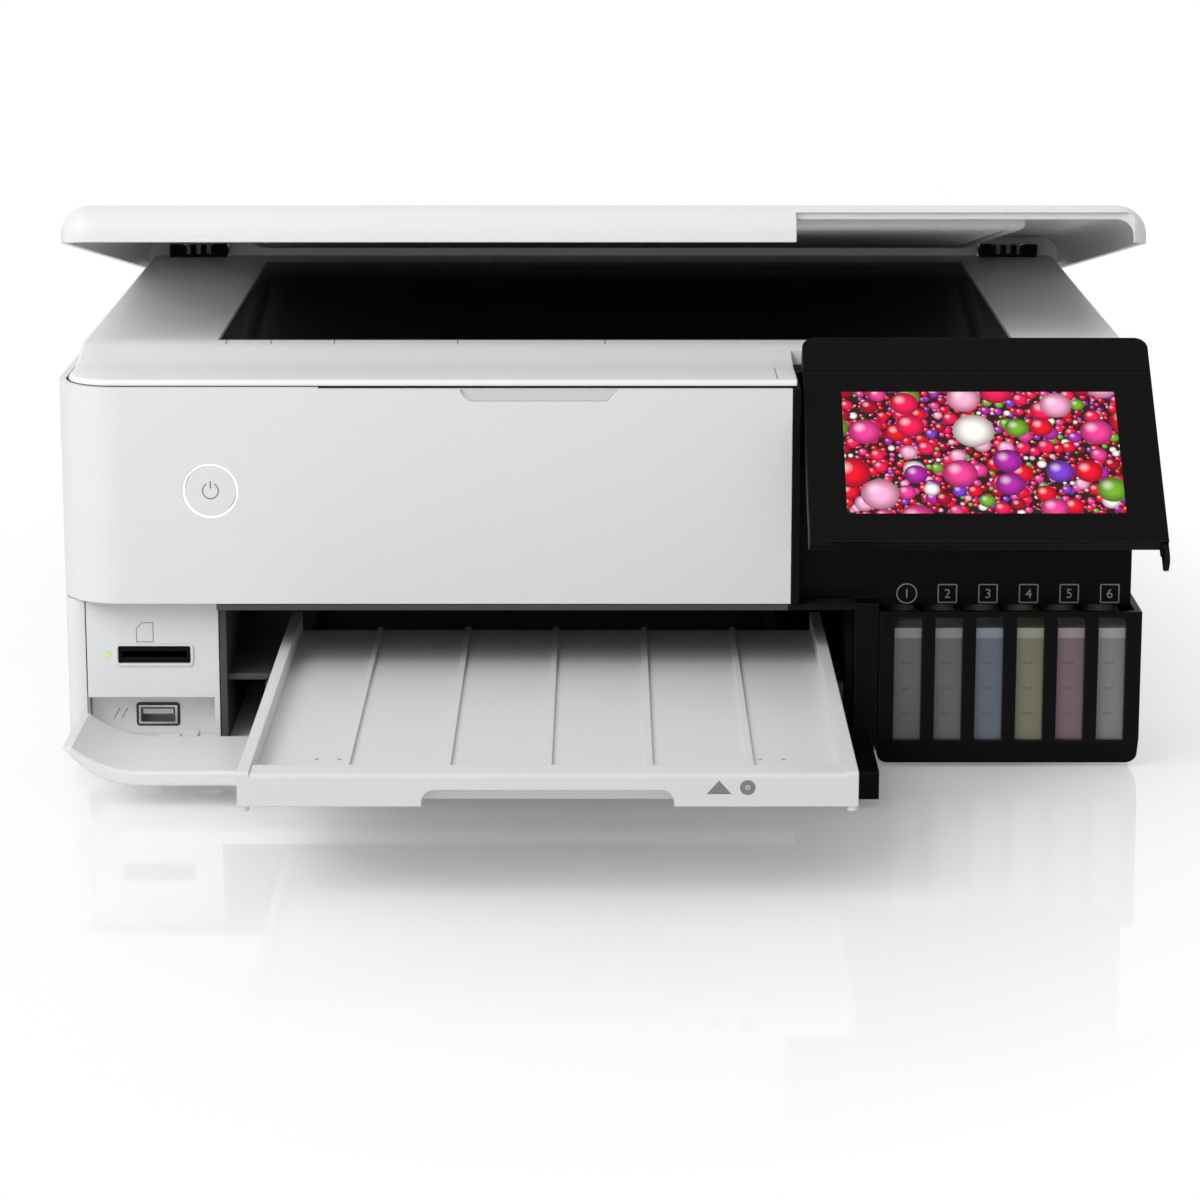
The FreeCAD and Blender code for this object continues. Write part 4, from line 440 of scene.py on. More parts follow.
def fill(tree, shader, sockets):
    """Links or sets sockets of a shader."""
    for name, value in sockets.items():
        if isinstance(value, bpy.types.NodeSocket):
            tree.links.new(value, shader.inputs[name])
        else:
            shader.inputs[name].default_value = value


def placed(tree, group, sockets):
    """A group node with its own values."""
    made = put(tree, "ShaderNodeGroup", node_tree=group)
    fill(tree, made, sockets)
    return made.outputs


def moulded(name, colour, matt=0.45, mottle=0.05, grain=1500.0, relief=0.1, edge_highlight=0.25, soft=0.0006,
            specular=0.5):
    """Moulded plastic, rubber or paint: grain, mottle, soft edges and a painted highlight of slightly paler
    colour along the edges.
    """
    material, tree, shader = blank(name)
    skin = placed(tree, grain_group(), {"Colour": rgba(colour), "Mottle": mottle, "Grain": grain,
                                        "Matt": matt})
    edges = placed(tree, edge_group(), {"Radius": soft})
    # Painted highlight: the edge mask blends in a paler colour.
    share = maths(tree, "MULTIPLY", edges["Edge"], edge_highlight)
    pale = rgba([part + (1.0 - part) * 0.12 for part in colour])
    bump = put(tree, "ShaderNodeBump", {"Strength": relief, "Distance": 0.0002, "Height": skin["Height"],
                                        "Normal": edges["Normal"]})
    fill(tree, shader, {"Base Color": blended(tree, share, skin["Colour"], pale),
                        "Roughness": skin["Roughness"], "Normal": bump.outputs[0],
                        "Specular IOR Level": specular})
    return material


def sheet_metal(name, colour, matt=0.32):
    """Rolled or turned metal with fine lines."""
    material, tree, shader = blank(name)
    skin = placed(tree, brush_group(), {"Colour": rgba(colour), "Matt": matt})
    bump = put(tree, "ShaderNodeBump", {"Strength": 0.08, "Distance": 0.0001, "Height": skin["Height"]})
    fill(tree, shader, {"Base Color": skin["Colour"], "Roughness": skin["Roughness"], "Metallic": 1.0,
                        "Normal": bump.outputs[0]})
    return material


def glowing(name, colour, strength):
    """A lit lens: its colour is a little brighter where fine noise is high."""
    material, tree, shader = blank(name)
    skin = placed(tree, grain_group(), {"Colour": rgba(colour), "Mottle": 0.15, "Grain": 2500.0,
                                        "Matt": 0.3})
    fill(tree, shader, {"Base Color": skin["Colour"], "Roughness": skin["Roughness"],
                        "Emission Color": skin["Colour"], "Emission Strength": strength})
    return material


def finish_node(name, material):
    """Gives a material to one node of the frame."""
    part = frame["nodes"][name]
    if not part.material_slots:
        part.data.materials.append(material)
    for place in part.material_slots:
        place.material = material


def blackened(material, axis, limit):
    """Paints shade on a moulded part: turns it black and dull past a limit along one axis."""
    tree = material.node_tree
    shader = tree.nodes["Principled BSDF"]
    place = put(tree, "ShaderNodeTexCoord").outputs["Object"]
    reach = put(tree, "ShaderNodeSeparateXYZ", {"Vector": place}).outputs[axis]
    shade_mask = maths(tree, "GREATER_THAN", reach, limit)
    colour = shader.inputs["Base Color"].links[0].from_socket
    matt = shader.inputs["Roughness"].links[0].from_socket
    # Painted shade: past the limit the colour turns black and the roughness rises.
    fill(tree, shader, {"Base Color": blended(tree, shade_mask, colour, (0.005, 0.005, 0.005, 1)),
                        "Roughness": maths(tree, "MAXIMUM", matt, maths(tree, "MULTIPLY", shade_mask, 0.9))})
    return material


def finish_slot(slot, material):
    """Gives a material to every node of the frame that takes this slot."""
    nodes = [name for name, used in NODE_SLOT.items() if used == slot]
    if not nodes:
        raise RuntimeError(f"no part of the frame takes the slot {slot}")
    for name in nodes:
        finish_node(name, material)


# Height over the glass at which the bed's hinge ears start and above which they are painted black and dull
# as shade, and how far inside the front panel's right end the bay liner is painted black as shade.
EAR_FOOT = 0.1 * MM
LINER_TURN = 1.0 * MM


class PRINTER_OT_casing(Operator):
    """Finishes the white casing, the tray and the dark paper path"""
    bl_idname = "printer.casing"
    bl_label = "Finish casing"

    def execute(self, context):
        looks = context.scene.printer_casing
        shared = {"grain": looks.grain, "soft": looks.soft}
        pale = {"relief": looks.relief, **shared}
        dark = {"relief": looks.relief * 1.6, "edge_highlight": 0.2, "specular": 0.15, **shared}
        finish_slot("white_plastic", moulded("casing_white", looks.white, 0.42, 0.05, **pale))
        # Painted light: the bed takes a lighter copy of the casing white.
        bed = moulded("bed_white_painted_light_and_shade", looks.bed, 0.42, 0.05, **pale)
        # Painted shade: the bed's hinge ears turn black and dull above the glass.
        finish_node("scanner_bed", blackened(bed, "Z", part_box("scanner_glass")[1][2] + EAR_FOOT))
        finish_slot("tray_plastic", moulded("tray_white", looks.tray, 0.46, 0.07, **pale))
        finish_slot("black_plastic", moulded("casing_black", looks.black, 0.42, 0.3,
                                             relief=looks.relief * 1.4, specular=0.06, **shared))
        finish_slot("dark_plastic", moulded("path_dark", looks.dark, 0.55, 0.3, **dark))
        # Painted shade: the bay liner turns black inside the bay, past the front panel's right end.
        liner = moulded("liner_dark_painted_shade", looks.dark, 0.55, 0.3, **dark)
        finish_node("bay_liner", blackened(liner, "X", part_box("front_panel")[1][0] - LINER_TURN))
        finish_slot("black_gloss", moulded("panel_gloss", looks.black, 0.16, 0.2, grain=260.0, relief=0.004,
                                           edge_highlight=0.35, soft=looks.soft, specular=0.03))
        return {"FINISHED"}


class PRINTER_OT_mechanism(Operator):
    """Finishes the print mechanism: steel, gears, rollers, belt and feet"""
    bl_idname = "printer.mechanism"
    bl_label = "Finish mechanism"

    def execute(self, context):
        finish_slot("steel", sheet_metal("turned_steel", (0.55, 0.55, 0.56), 0.22))
        finish_slot("chassis_steel", sheet_metal("chassis_sheet", (0.48, 0.49, 0.50), 0.38))
        finish_slot("gear_plastic", moulded("gear_white", (0.62, 0.61, 0.57), 0.4, 0.08, 900.0, 0.06))
        finish_slot("roller_rubber", moulded("roller_grey", (0.045, 0.045, 0.048), 0.75, 0.35, 1800.0, 0.3))
        finish_slot("foot_rubber", moulded("foot_black", (0.02, 0.02, 0.02), 0.85, 0.3, 1400.0, 0.35))
        finish_slot("belt_rubber", moulded("belt_black", (0.015, 0.015, 0.015), 0.7, 0.3, 2200.0, 0.4))
        return {"FINISHED"}


def board_material():
    """Circuit board: rows of a brick pattern stand for tracks, voronoi dots for soldered pads."""
    material, tree, shader = blank("board_tracks")
    place = put(tree, "ShaderNodeTexCoord").outputs["Object"]
    turned = put(tree, "ShaderNodeMapping",
                 {"Vector": place, "Rotation": (0.0, math.radians(90), 0.0)}).outputs[0]
    tracks = put(tree, "ShaderNodeTexBrick", {"Vector": turned, "Scale": 260.0, "Mortar Size": 0.06,
                                              "Color1": (0.010, 0.075, 0.030, 1),
                                              "Color2": (0.016, 0.11, 0.045, 1),
                                              "Mortar": (0.03, 0.16, 0.07, 1)})
    pads = put(tree, "ShaderNodeTexVoronoi", {"Vector": place, "Scale": 190.0}).outputs["Distance"]
    pad = maths(tree, "LESS_THAN", pads, 0.22)
    fill(tree, shader, {"Base Color": blended(tree, pad, tracks.outputs["Color"], (0.45, 0.42, 0.34, 1)),
                        "Roughness": maths(tree, "SUBTRACT", 0.5, maths(tree, "MULTIPLY", pad, 0.2))})
    return material


class PRINTER_OT_electrics(Operator):
    """Finishes the board, the supply, the status lamp and the ring round the power button"""
    bl_idname = "printer.electrics"
    bl_label = "Finish electrics"

    def execute(self, context):
        finish_slot("board_green", board_material())
        finish_slot("supply_metal", sheet_metal("supply_sheet", (0.52, 0.53, 0.55), 0.42))
        finish_slot("lamp_green", glowing("lamp_lit", (0.55, 0.75, 0.16), 0.35))
        finish_slot("ring_light", glowing("ring_lit", (0.93, 0.92, 1.0), 0.55))
        return {"FINISHED"}


class PRINTER_OT_glass(Operator):
    """Finishes the scanner glass and the display behind its sheet"""
    bl_idname = "printer.glass"
    bl_label = "Finish glass"

    def execute(self, context):
        finish_slot("scan_glass", moulded("scan_black", (0.0012, 0.0012, 0.0013), 0.10, 0.3, 120.0, 0.0,
                                          edge_highlight=0.0, specular=0.01))
        finish_slot("screen", moulded("display_dark", (0.01, 0.01, 0.012), 0.2, 0.3, 400.0, 0.01))
        finish_slot("mat_foam", moulded("pad_core", context.scene.printer_pad.colour, 0.8, 0.1))
        return {"FINISHED"}


# Half the height over which ink turns into empty wall, the level marks' heights, their shape in
# millimetres and how far left of a tank's middle they stand.
INK_EDGE = 0.4 * MM
LEVEL_HEIGHTS = (0.0212, 0.0308, 0.0404)
LEVEL_DASH = ((-1.5, 0.5), (-1.1, 0.0), (1.1, 0.0), (1.5, 0.5))
LEVEL_WIDTH = 0.5 * MM
LEVEL_LEFT = 0.6 * MM


def tank_material(name, colour, level):
    """Clear tank wall: height over the floor turns ink colour into the paler empty wall at the ink
    level."""
    material, tree, shader = blank(name)
    place = put(tree, "ShaderNodeTexCoord").outputs["Object"]
    height = put(tree, "ShaderNodeSeparateXYZ", {"Vector": place}).outputs["Z"]
    skin = placed(tree, grain_group(), {"Colour": rgba(colour), "Mottle": 0.12, "Grain": 700.0,
                                        "Matt": 0.25})
    full = put(tree, "ShaderNodeMapRange", {"Value": height, "From Min": level + INK_EDGE,
                                            "From Max": level - INK_EDGE}).outputs[0]
    empty = rgba([0.16 + part * 0.95 for part in colour])
    fill(tree, shader, {"Base Color": blended(tree, full, empty, skin["Colour"]),
                        "Roughness": skin["Roughness"], "Coat Weight": 0.2, "Coat Roughness": 0.1})
    return material


class PRINTER_OT_tanks(Operator):
    """Finishes the six ink tanks and raises three level marks on each"""
    bl_idname = "printer.tanks"
    bl_label = "Finish tanks"

    def execute(self, context):
        looks = context.scene.printer_tanks
        rise = context.scene.printer_marks.rise
        colours = (looks.first, looks.second, looks.third, looks.fourth, looks.fifth, looks.sixth)
        for number, colour in enumerate(colours, 1):
            wall = tank_material(f"tank_wall_{number}", colour, looks.level)
            finish_slot(f"tank_{number}", wall)
            low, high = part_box(f"ink_tank_{number}")
            middle = (low[0] + high[0]) / 2 - LEVEL_LEFT
            dash = np.array(LEVEL_DASH) * MM
            dashes = [drawn_line(dash + np.array((middle, height)), LEVEL_WIDTH, rise * 4)
                      for height in LEVEL_HEIGHTS]
            points, faces = joined(dashes)
            add_piece(f"tank_level_marks_{number}", front_face(low[1]).place(points), faces, "printer",
                      wall, True)
        return {"FINISHED"}


class PRINTER_OT_power_mark(Operator):
    """Prints the power mark on its button: an open ring and a short bar"""
    bl_idname = "printer.power_mark"
    bl_label = "Power mark"

    def execute(self, context):
        marks = context.scene.printer_marks
        low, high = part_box("power_button")
        middle = np.array(((low[0] + high[0]) / 2, (low[2] + high[2]) / 2))
        ring = drawn_line(arc(middle, marks.power, 120.0, 420.0, 49), marks.line, marks.rise)
        bar = drawn_line(middle + np.array(((0.0, 0.3), (0.0, 1.25))) * marks.power, marks.line, marks.rise)
        points, faces = joined((ring, bar))
        add_piece("power_mark", front_face(low[1]).place(points), faces, "button",
                  moulded("mark_grey", marks.grey, 0.5, 0.1, edge_highlight=0.0))
        return {"FINISHED"}


# Paper lengths that the ticks stand at, from the glass's right edge; the line round the glass; and the
# seam on the bed's shelf: its place along x, its reach behind the front and the shelf's height.
PAPER_SIZES = (0.2973, 0.2803, 0.2564, 0.2097, 0.1539)
TICK_GAP = 0.2 * MM
TICK_STEPS = 9
GLASS_LINE = 0.8 * MM
GLASS_LINE_OUT = 0.5 * MM
SHELF_SEAM_X = 63.6 * MM
SHELF_SEAM_REACH = (4.0 * MM, 30.0 * MM)
SHELF_SEAM_WIDTH = 0.35 * MM
SHELF_RISE = 2.1 * MM


class PRINTER_OT_bed_marks(Operator):
    """Prints the paper size ticks, the thin line round the scanner glass and the seam on the shelf"""
    bl_idname = "printer.bed_marks"
    bl_label = "Bed marks"

    def execute(self, context):
        marks = context.scene.printer_marks
        low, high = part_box("scanner_glass")
        along = np.linspace(low[1] - marks.tick, low[1] - TICK_GAP, TICK_STEPS)
        ticks = [drawn_line(np.stack((np.full(TICK_STEPS, high[0] - size), along), axis=1), marks.line,
                            marks.rise) for size in PAPER_SIZES]
        # A tick sinks with the bed's bend: the radius less the root of its square less the reach's square.
        for points, faces in ticks:
            points[:, 2] -= marks.bend - np.sqrt(marks.bend ** 2 - (low[1] - points[:, 1]) ** 2)
        edge = round_rectangle(np.array(low[:2]) - GLASS_LINE_OUT, np.array(high[:2]) + GLASS_LINE_OUT,
                               GLASS_LINE_OUT, 4)
        ticks.append(drawn_line(edge, GLASS_LINE, marks.rise, True))
        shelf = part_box("scanner_bed")[0][2] + SHELF_RISE - high[2]
        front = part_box("front_panel")[0][1]
        seam = drawn_line([(SHELF_SEAM_X, front + reach) for reach in SHELF_SEAM_REACH], SHELF_SEAM_WIDTH,
                          marks.rise)
        ticks.append((seam[0] + np.array((0.0, 0.0, shelf)), seam[1]))
        points, faces = joined(ticks)
        add_piece("bed_marks", level_face(high[2]).place(points), faces, "scanner",
                  moulded("bed_grey", (0.30, 0.30, 0.31), 0.5, 0.1, edge_highlight=0.0))
        return {"FINISHED"}


# Height of the tank labels and how far the fascia stands behind the front.
LABEL_HEIGHT = 65.1 * MM
FASCIA_BACK = 11.0 * MM


class PRINTER_OT_tank_labels(Operator):
    """Prints a frame with a plain number over each tank: the first round, the others square"""
    bl_idname = "printer.tank_labels"
    bl_label = "Tank labels"

    def execute(self, context):
        marks = context.scene.printer_marks
        half = marks.label / 2
        shapes = []
        for number in range(1, 7):
            low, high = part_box(f"ink_tank_{number}")
            middle = np.array(((low[0] + high[0]) / 2, LABEL_HEIGHT))
            if number == 1:
                border = circle(middle, half * 1.08)
            else:
                border = round_rectangle(middle - half, middle + half, 0.3 * MM, 4)
            shapes.append(drawn_line(border, marks.line, marks.rise, True))
            shapes.append(digits(str(number), middle, marks.digit, marks.rise))
        points, faces = joined(shapes)
        face = front_face(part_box("front_panel")[0][1] + FASCIA_BACK)
        add_piece("tank_labels", face.place(points), faces, "printer",
                  moulded("mark_pale", marks.pale, 0.5, 0.1, edge_highlight=0.0))
        return {"FINISHED"}


# Bead colours, each with the share of beads at which it starts.
PALETTE = ((0.00, (0.42, 0.000, 0.020)), (0.12, (0.82, 0.004, 0.020)), (0.38, (0.92, 0.01, 0.09)),
           (0.54, (0.86, 0.05, 0.30)), (0.62, (0.42, 0.02, 0.38)), (0.70, (0.20, 0.05, 0.60)),
           (0.77, (0.95, 0.40, 0.60)), (0.87, (0.16, 0.42, 0.02)), (0.94, (0.95, 0.90, 0.86)))


# How much finer than the large beads each set is, the finest first.
BEAD_STEPS = (6.3, 3.7, 1.9, 1.0)


def bead_layer(tree, place, scale):
    """Round beads: a circle in each voronoi cell, as large as its neighbours allow, in a colour of the
    palette, darker towards its rim and with a pale spot up and left of its middle."""
    layout = {"Vector": place, "Scale": scale, "Randomness": 0.85}
    cells = put(tree, "ShaderNodeTexVoronoi", layout, voronoi_dimensions="2D").outputs
    room = put(tree, "ShaderNodeTexVoronoi", layout, voronoi_dimensions="2D",
               feature="N_SPHERE_RADIUS").outputs["Radius"]
    pick = put(tree, "ShaderNodeSeparateColor", {0: cells["Color"]}).outputs[0]
    ramp = put(tree, "ShaderNodeValToRGB", {0: pick})
    ramp.color_ramp.interpolation = "CONSTANT"
    stops = ramp.color_ramp.elements
    while len(stops) < len(PALETTE):
        stops.new(0.5)
    for stop, (start, colour) in zip(stops, PALETTE):
        stop.position = start
    # The colours follow once all the places are set, because a stop that moves may change its order.
    for stop, (start, colour) in zip(stops, PALETTE):
        stop.color = rgba(colour)
    share = maths(tree, "DIVIDE", cells["Distance"], room)
    rim = put(tree, "ShaderNodeMapRange", {"Value": share, "From Min": 0.35, "From Max": 1.0, "To Min": 0.0,
                                           "To Max": 0.75}).outputs[0]
    away = put(tree, "ShaderNodeVectorMath", {0: place, 1: cells["Position"]},
               operation="SUBTRACT").outputs[0]
    local = put(tree, "ShaderNodeVectorMath", {0: away, "Scale": maths(tree, "DIVIDE", scale, room)},
                operation="SCALE").outputs[0]
    spot = put(tree, "ShaderNodeVectorMath", {0: local, 1: (-0.30, 0.34, 0.0)},
               operation="DISTANCE").outputs["Value"]
    shine = put(tree, "ShaderNodeMapRange", {"Value": spot, "From Min": 0.45, "From Max": 0.05,
                                             "To Min": 0.0, "To Max": 0.5}).outputs[0]
    bead = blended(tree, rim, ramp.outputs[0], (0.03, 0.002, 0.012, 1))
    return blended(tree, shine, bead, (1.0, 0.84, 0.87, 1)), maths(tree, "LESS_THAN", share, 0.98)


def screen_material(looks):
    """Lit display: four sets of beads, the larger over the smaller, on a dark blotched ground."""
    material, tree, shader = blank("display_lit")
    place = put(tree, "ShaderNodeTexCoord").outputs["UV"]
    wide = put(tree, "ShaderNodeMapping", {"Vector": place, "Scale": (1.0, 0.57, 1.0)}).outputs[0]
    picture = blended(tree, noise(tree, wide, 9.0), (0.004, 0.020, 0.002, 1), (0.05, 0.0, 0.016, 1))
    for finer in BEAD_STEPS:
        bead, inside = bead_layer(tree, wide, looks.cells * finer)
        picture = blended(tree, inside, picture, bead)
    fill(tree, shader, {"Base Color": blended(tree, 0.9, picture, (0, 0, 0, 1)), "Roughness": 0.12,
                        "Specular IOR Level": 0.06, "Emission Color": picture,
                        "Emission Strength": looks.glow})
    return material


# Heights on the upright control panel: the display's foot and top, and the seam under the top edge.
SCREEN_FOOT = 80.5 * MM
SCREEN_TOP = 137.5 * MM
PANEL_SEAM_UP = 147.8 * MM
PANEL_SEAM_INSET = 0.1 * MM


class PRINTER_OT_screen(Operator):
    """Lights the display: a thin sheet over the touch glass with its own map"""
    bl_idname = "printer.screen"
    bl_label = "Display"

    def execute(self, context):
        low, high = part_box("display_module")
        left, right = low[0], high[0]
        outline = round_rectangle((left, SCREEN_FOOT), (right, SCREEN_TOP), 0.6 * MM)
        points, faces = filled_shape(outline, 0.05 * MM, soft=0.998)
        face = panel_face()
        piece = add_piece("display_picture", face.place(points), faces, "control_panel",
                          screen_material(context.scene.printer_screen))
        mesh = piece.data
        places = np.empty(len(mesh.vertices) * 3)
        mesh.vertices.foreach_get("co", places)
        local = places.reshape(-1, 3) - face.origin
        across = (local @ face.right - left) / (right - left)
        upward = (local @ face.up - SCREEN_FOOT) / (SCREEN_TOP - SCREEN_FOOT)
        corners = np.empty(len(mesh.loops), dtype=int)
        mesh.loops.foreach_get("vertex_index", corners)
        mesh.uv_layers.new(name="picture").data.foreach_set(
            "uv", np.stack((across, upward), axis=1)[corners].ravel())
        return {"FINISHED"}


class PRINTER_OT_panel_lines(Operator):
    """Draws the fine seam across the control panel under its top edge"""
    bl_idname = "printer.panel_lines"
    bl_label = "Panel seam"

    def execute(self, context):
        low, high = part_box("touch_glass")
        seam = drawn_line(((low[0] + PANEL_SEAM_INSET, PANEL_SEAM_UP),
                           (high[0] - PANEL_SEAM_INSET, PANEL_SEAM_UP)), 0.3 * MM, 0.03 * MM)
        add_piece("panel_seam", panel_face().place(seam[0]), seam[1], "control_panel",
                  moulded("seam_black", (0.0012, 0.0012, 0.0012), 0.6, 0.2, edge_highlight=0.0, specular=0.02))
        return {"FINISHED"}


# The tray's marks: the arrow on its lip and a small arrow on its floor, in millimetres about their
# places, the lip marks' height, the floor's height and how far behind the lip its arrows stand.
LIP_ARROW = ((33.8, -2.2), (42.0, -2.2), (37.9, 2.4))
LIP_MARK_UP = 40.5 * MM
LIP_DISC_X = 47.3 * MM
FLOOR_ARROW = ((-0.9, 0.0), (0.8, -1.3), (0.8, 1.3))
FLOOR_ARROW_BACK = 43.0 * MM
FLOOR_ARROW_MIDDLES = (-93.3 * MM, 57.0 * MM)
FLOOR_ARROW_SPREAD = 4.1 * MM
TRAY_FLOOR = 38.5 * MM


class PRINTER_OT_tray_marks(Operator):
    """Prints the arrow and disc on the tray's front lip and four small arrows on its floor"""
    bl_idname = "printer.tray_marks"
    bl_label = "Tray marks"

    def execute(self, context):
        marks = context.scene.printer_marks
        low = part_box("output_tray")[0]
        arrow = np.array(LIP_ARROW) * MM + np.array((0.0, LIP_MARK_UP))
        disc = (LIP_DISC_X, LIP_MARK_UP)
        thin = marks.rise / 3
        shapes = [filled_shape(arrow, thin), drawn_line(circle(disc, 1.7 * MM), 1.7 * MM, thin, True),
                  drawn_line(circle(disc, 0.45 * MM, 20), 0.3 * MM, thin, True)]
        points, faces = joined(shapes)
        grey = moulded("tray_mark_grey", (0.20, 0.20, 0.21), 0.5, 0.1, edge_highlight=0.0)
        add_piece("tray_lip_marks", front_face(low[1]).place(points), faces, "tray", grey)
        point = np.array(FLOOR_ARROW) * MM
        floor_y = low[1] + FLOOR_ARROW_BACK
        arrows = []
        for middle in FLOOR_ARROW_MIDDLES:
            for side in (-1.0, 1.0):
                place = np.array((middle + side * FLOOR_ARROW_SPREAD, floor_y))
                arrows.append(filled_shape(point * np.array((-side, 1.0)) + place, marks.rise))
        points, faces = joined(arrows)
        add_piece("tray_floor_marks", level_face(TRAY_FLOOR).place(points), faces, "tray",
                  moulded("floor_mark_grey", (0.34, 0.34, 0.35), 0.5, 0.1, edge_highlight=0.0))
        return {"FINISHED"}


# The card's outline and a stroke of the port mark, in millimetres, the strokes' places along x, and how
# far each frame's line stands outside its slot.
CARD_OUTLINE = ((-174.0, 46.9), (-167.8, 46.9), (-167.8, 54.2), (-171.8, 54.2), (-174.0, 52.0))
PORT_STROKE = ((-184.4, 14.9), (-182.2, 18.8))
STROKE_STEPS = (0.0, 2.9)
SLOT_FRAME_OUT = 0.6 * MM
PORT_FRAME_OUT = 0.5 * MM
PORT_PROUD = 1.0 * MM


def framed(name, out):
    """Low and high corner, across and up, of the frame that stands this far outside a node's front."""
    low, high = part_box(name)
    return np.array((low[0], low[2])) - out, np.array((high[0], high[2])) + out


class PRINTER_OT_card_marks(Operator):
    """Draws the pale frame round the card slot and the plain card outline over it"""
    bl_idname = "printer.card_marks"
    bl_label = "Card marks"

    def execute(self, context):
        marks = context.scene.printer_marks
        face = front_face(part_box("card_panel")[0][1])
        around_slot = round_rectangle(*framed("card_reader", SLOT_FRAME_OUT), 1.4 * MM)
        border = drawn_line(around_slot, 1.0 * MM, 0.5 * MM, True)
        add_piece("slot_frame", face.place(border[0]), border[1], "printer",
                  moulded("slot_white", context.scene.printer_casing.white, 0.4, 0.05))
        around_port = round_rectangle(*framed("usb_port", PORT_FRAME_OUT), 0.8 * MM)
        dark_frame = drawn_line(around_port, 0.9 * MM, 0.3 * MM, True)
        recess = front_face(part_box("usb_port")[0][1] + PORT_PROUD)
        add_piece("port_frame", recess.place(dark_frame[0]), dark_frame[1], "printer",
                  moulded("port_black", (0.02, 0.02, 0.02), 0.5, 0.2))
        outline = drawn_line(np.array(CARD_OUTLINE) * MM, marks.line * 0.8, marks.rise, True)
        pale_grey = moulded("card_grey", (0.42, 0.42, 0.43), 0.5, 0.1, edge_highlight=0.0)
        add_piece("card_mark", face.place(outline[0]), outline[1], "printer", pale_grey)
        stroke = np.array(PORT_STROKE) * MM
        strokes = joined([drawn_line(stroke + np.array((step * MM, 0.0)), marks.line, marks.rise)
                          for step in STROKE_STEPS])
        add_piece("port_mark", recess.place(strokes[0]), strokes[1], "printer", pale_grey)
        return {"FINISHED"}


# The grip's floor, which carries painted shade: its ends along x at the top and where its lower corners
# are centred, its drop under the front panel's top, its depth and its corner radius.
GRIP_TOP = (5.6 * MM, -52.6 * MM)
GRIP_FOOT = (-47.6 * MM, 0.6 * MM)
GRIP_DROP = (0.6 * MM, 5.1 * MM)
GRIP_DEPTH = 1.2 * MM
GRIP_CORNER = 2.2 * MM


class PRINTER_OT_grip(Operator):
    """Paints shade on the floor of the grip in the front panel's top edge"""
    bl_idname = "printer.grip"
    bl_label = "Grip face"

    def execute(self, context):
        low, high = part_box("front_panel")
        top = high[2] - GRIP_DROP[0]
        bend = high[2] - GRIP_DROP[1] + GRIP_CORNER
        outline = np.concatenate(([(x, top) for x in GRIP_TOP],
                                  arc((GRIP_FOOT[0], bend), GRIP_CORNER, 200.0, 270.0, 8),
                                  arc((GRIP_FOOT[1], bend), GRIP_CORNER, 270.0, 340.0, 8)))
        points, faces = filled_shape(outline, 0.05 * MM, soft=0.99)
        # Painted shade: the grip's floor takes a darker copy of the casing white.
        shade = [part * 0.83 for part in context.scene.printer_casing.white]
        add_piece("grip_face", front_face(low[1] + GRIP_DEPTH).place(points), faces, "printer",
                  moulded("grip_painted_shade", shade, 0.42, 0.06))
        return {"FINISHED"}


# A hinge comb: its middle and half width along x, its fins' span along y, the bar behind them and the
# plates before the hinge ears, all in millimetres. The fins stand for the hinge's dark teeth; their height
# and the plates also cover the ears' lit faces as painted shade.
COMB_MIDDLE = 177.5
COMB_HALF = 11.3
COMB_FINS = 6
FIN_SPAN = (195.0, 197.8)
FIN_WIDTH = 2.4
FIN_TALL = 5.2
BAR_Y = 196.6
BAR_DEEP = 2.2
BAR_TALL = 1.0
PLATE_MIDDLES = (168.0, 187.0)
PLATE_HALF = 3.0
PLATE_Y = 197.4
PLATE_DEEP = 0.8
PLATE_TALL = 5.4


class PRINTER_OT_hinge_combs(Operator):
    """Stands a dark comb of fins before each lid hinge: short lines along y with a tall section; the plates
    and the fins' height are painted shade over the hinge ears
    """
    bl_idname = "printer.hinge_combs"
    bl_label = "Hinge combs"

    def execute(self, context):
        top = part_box("scanner_glass")[1][2]
        # Black hinge teeth, and painted shade where the plates and tall fins cover the ears.
        dark = moulded("comb_black_and_painted_shade", context.scene.printer_casing.black, 0.5, 0.2, specular=0.1)
        for name, side in (("left", -1.0), ("right", 1.0)):
            places = side * COMB_MIDDLE + np.linspace(-COMB_HALF, COMB_HALF, COMB_FINS)
            fins = [((x, FIN_SPAN[0]), (x, FIN_SPAN[1]), FIN_WIDTH, FIN_TALL) for x in places]
            fins.append(((places[0] - FIN_WIDTH / 2, BAR_Y), (places[-1] + FIN_WIDTH / 2, BAR_Y), BAR_DEEP,
                         BAR_TALL))
            fins += [((side * middle - PLATE_HALF, PLATE_Y), (side * middle + PLATE_HALF, PLATE_Y),
                      PLATE_DEEP, PLATE_TALL) for middle in PLATE_MIDDLES]
            points, faces = joined([drawn_line(np.array((start, end)) * MM, width * MM, tall * MM)
                                    for start, end, width, tall in fins])
            piece = add_piece(f"hinge_comb_{name}", level_face(top).place(points), faces, "scanner",
                              dark)
            soft = piece.modifiers.new("soft_edges", "BEVEL")
            soft.width = 0.3 * MM
            soft.segments = 2
        return {"FINISHED"}


# The pad's margin round the glass, the room under it and its thickness.
PAD_MARGIN = 5.0 * MM
PAD_ROOM = 0.7 * MM
PAD_THICK = 5.7 * MM


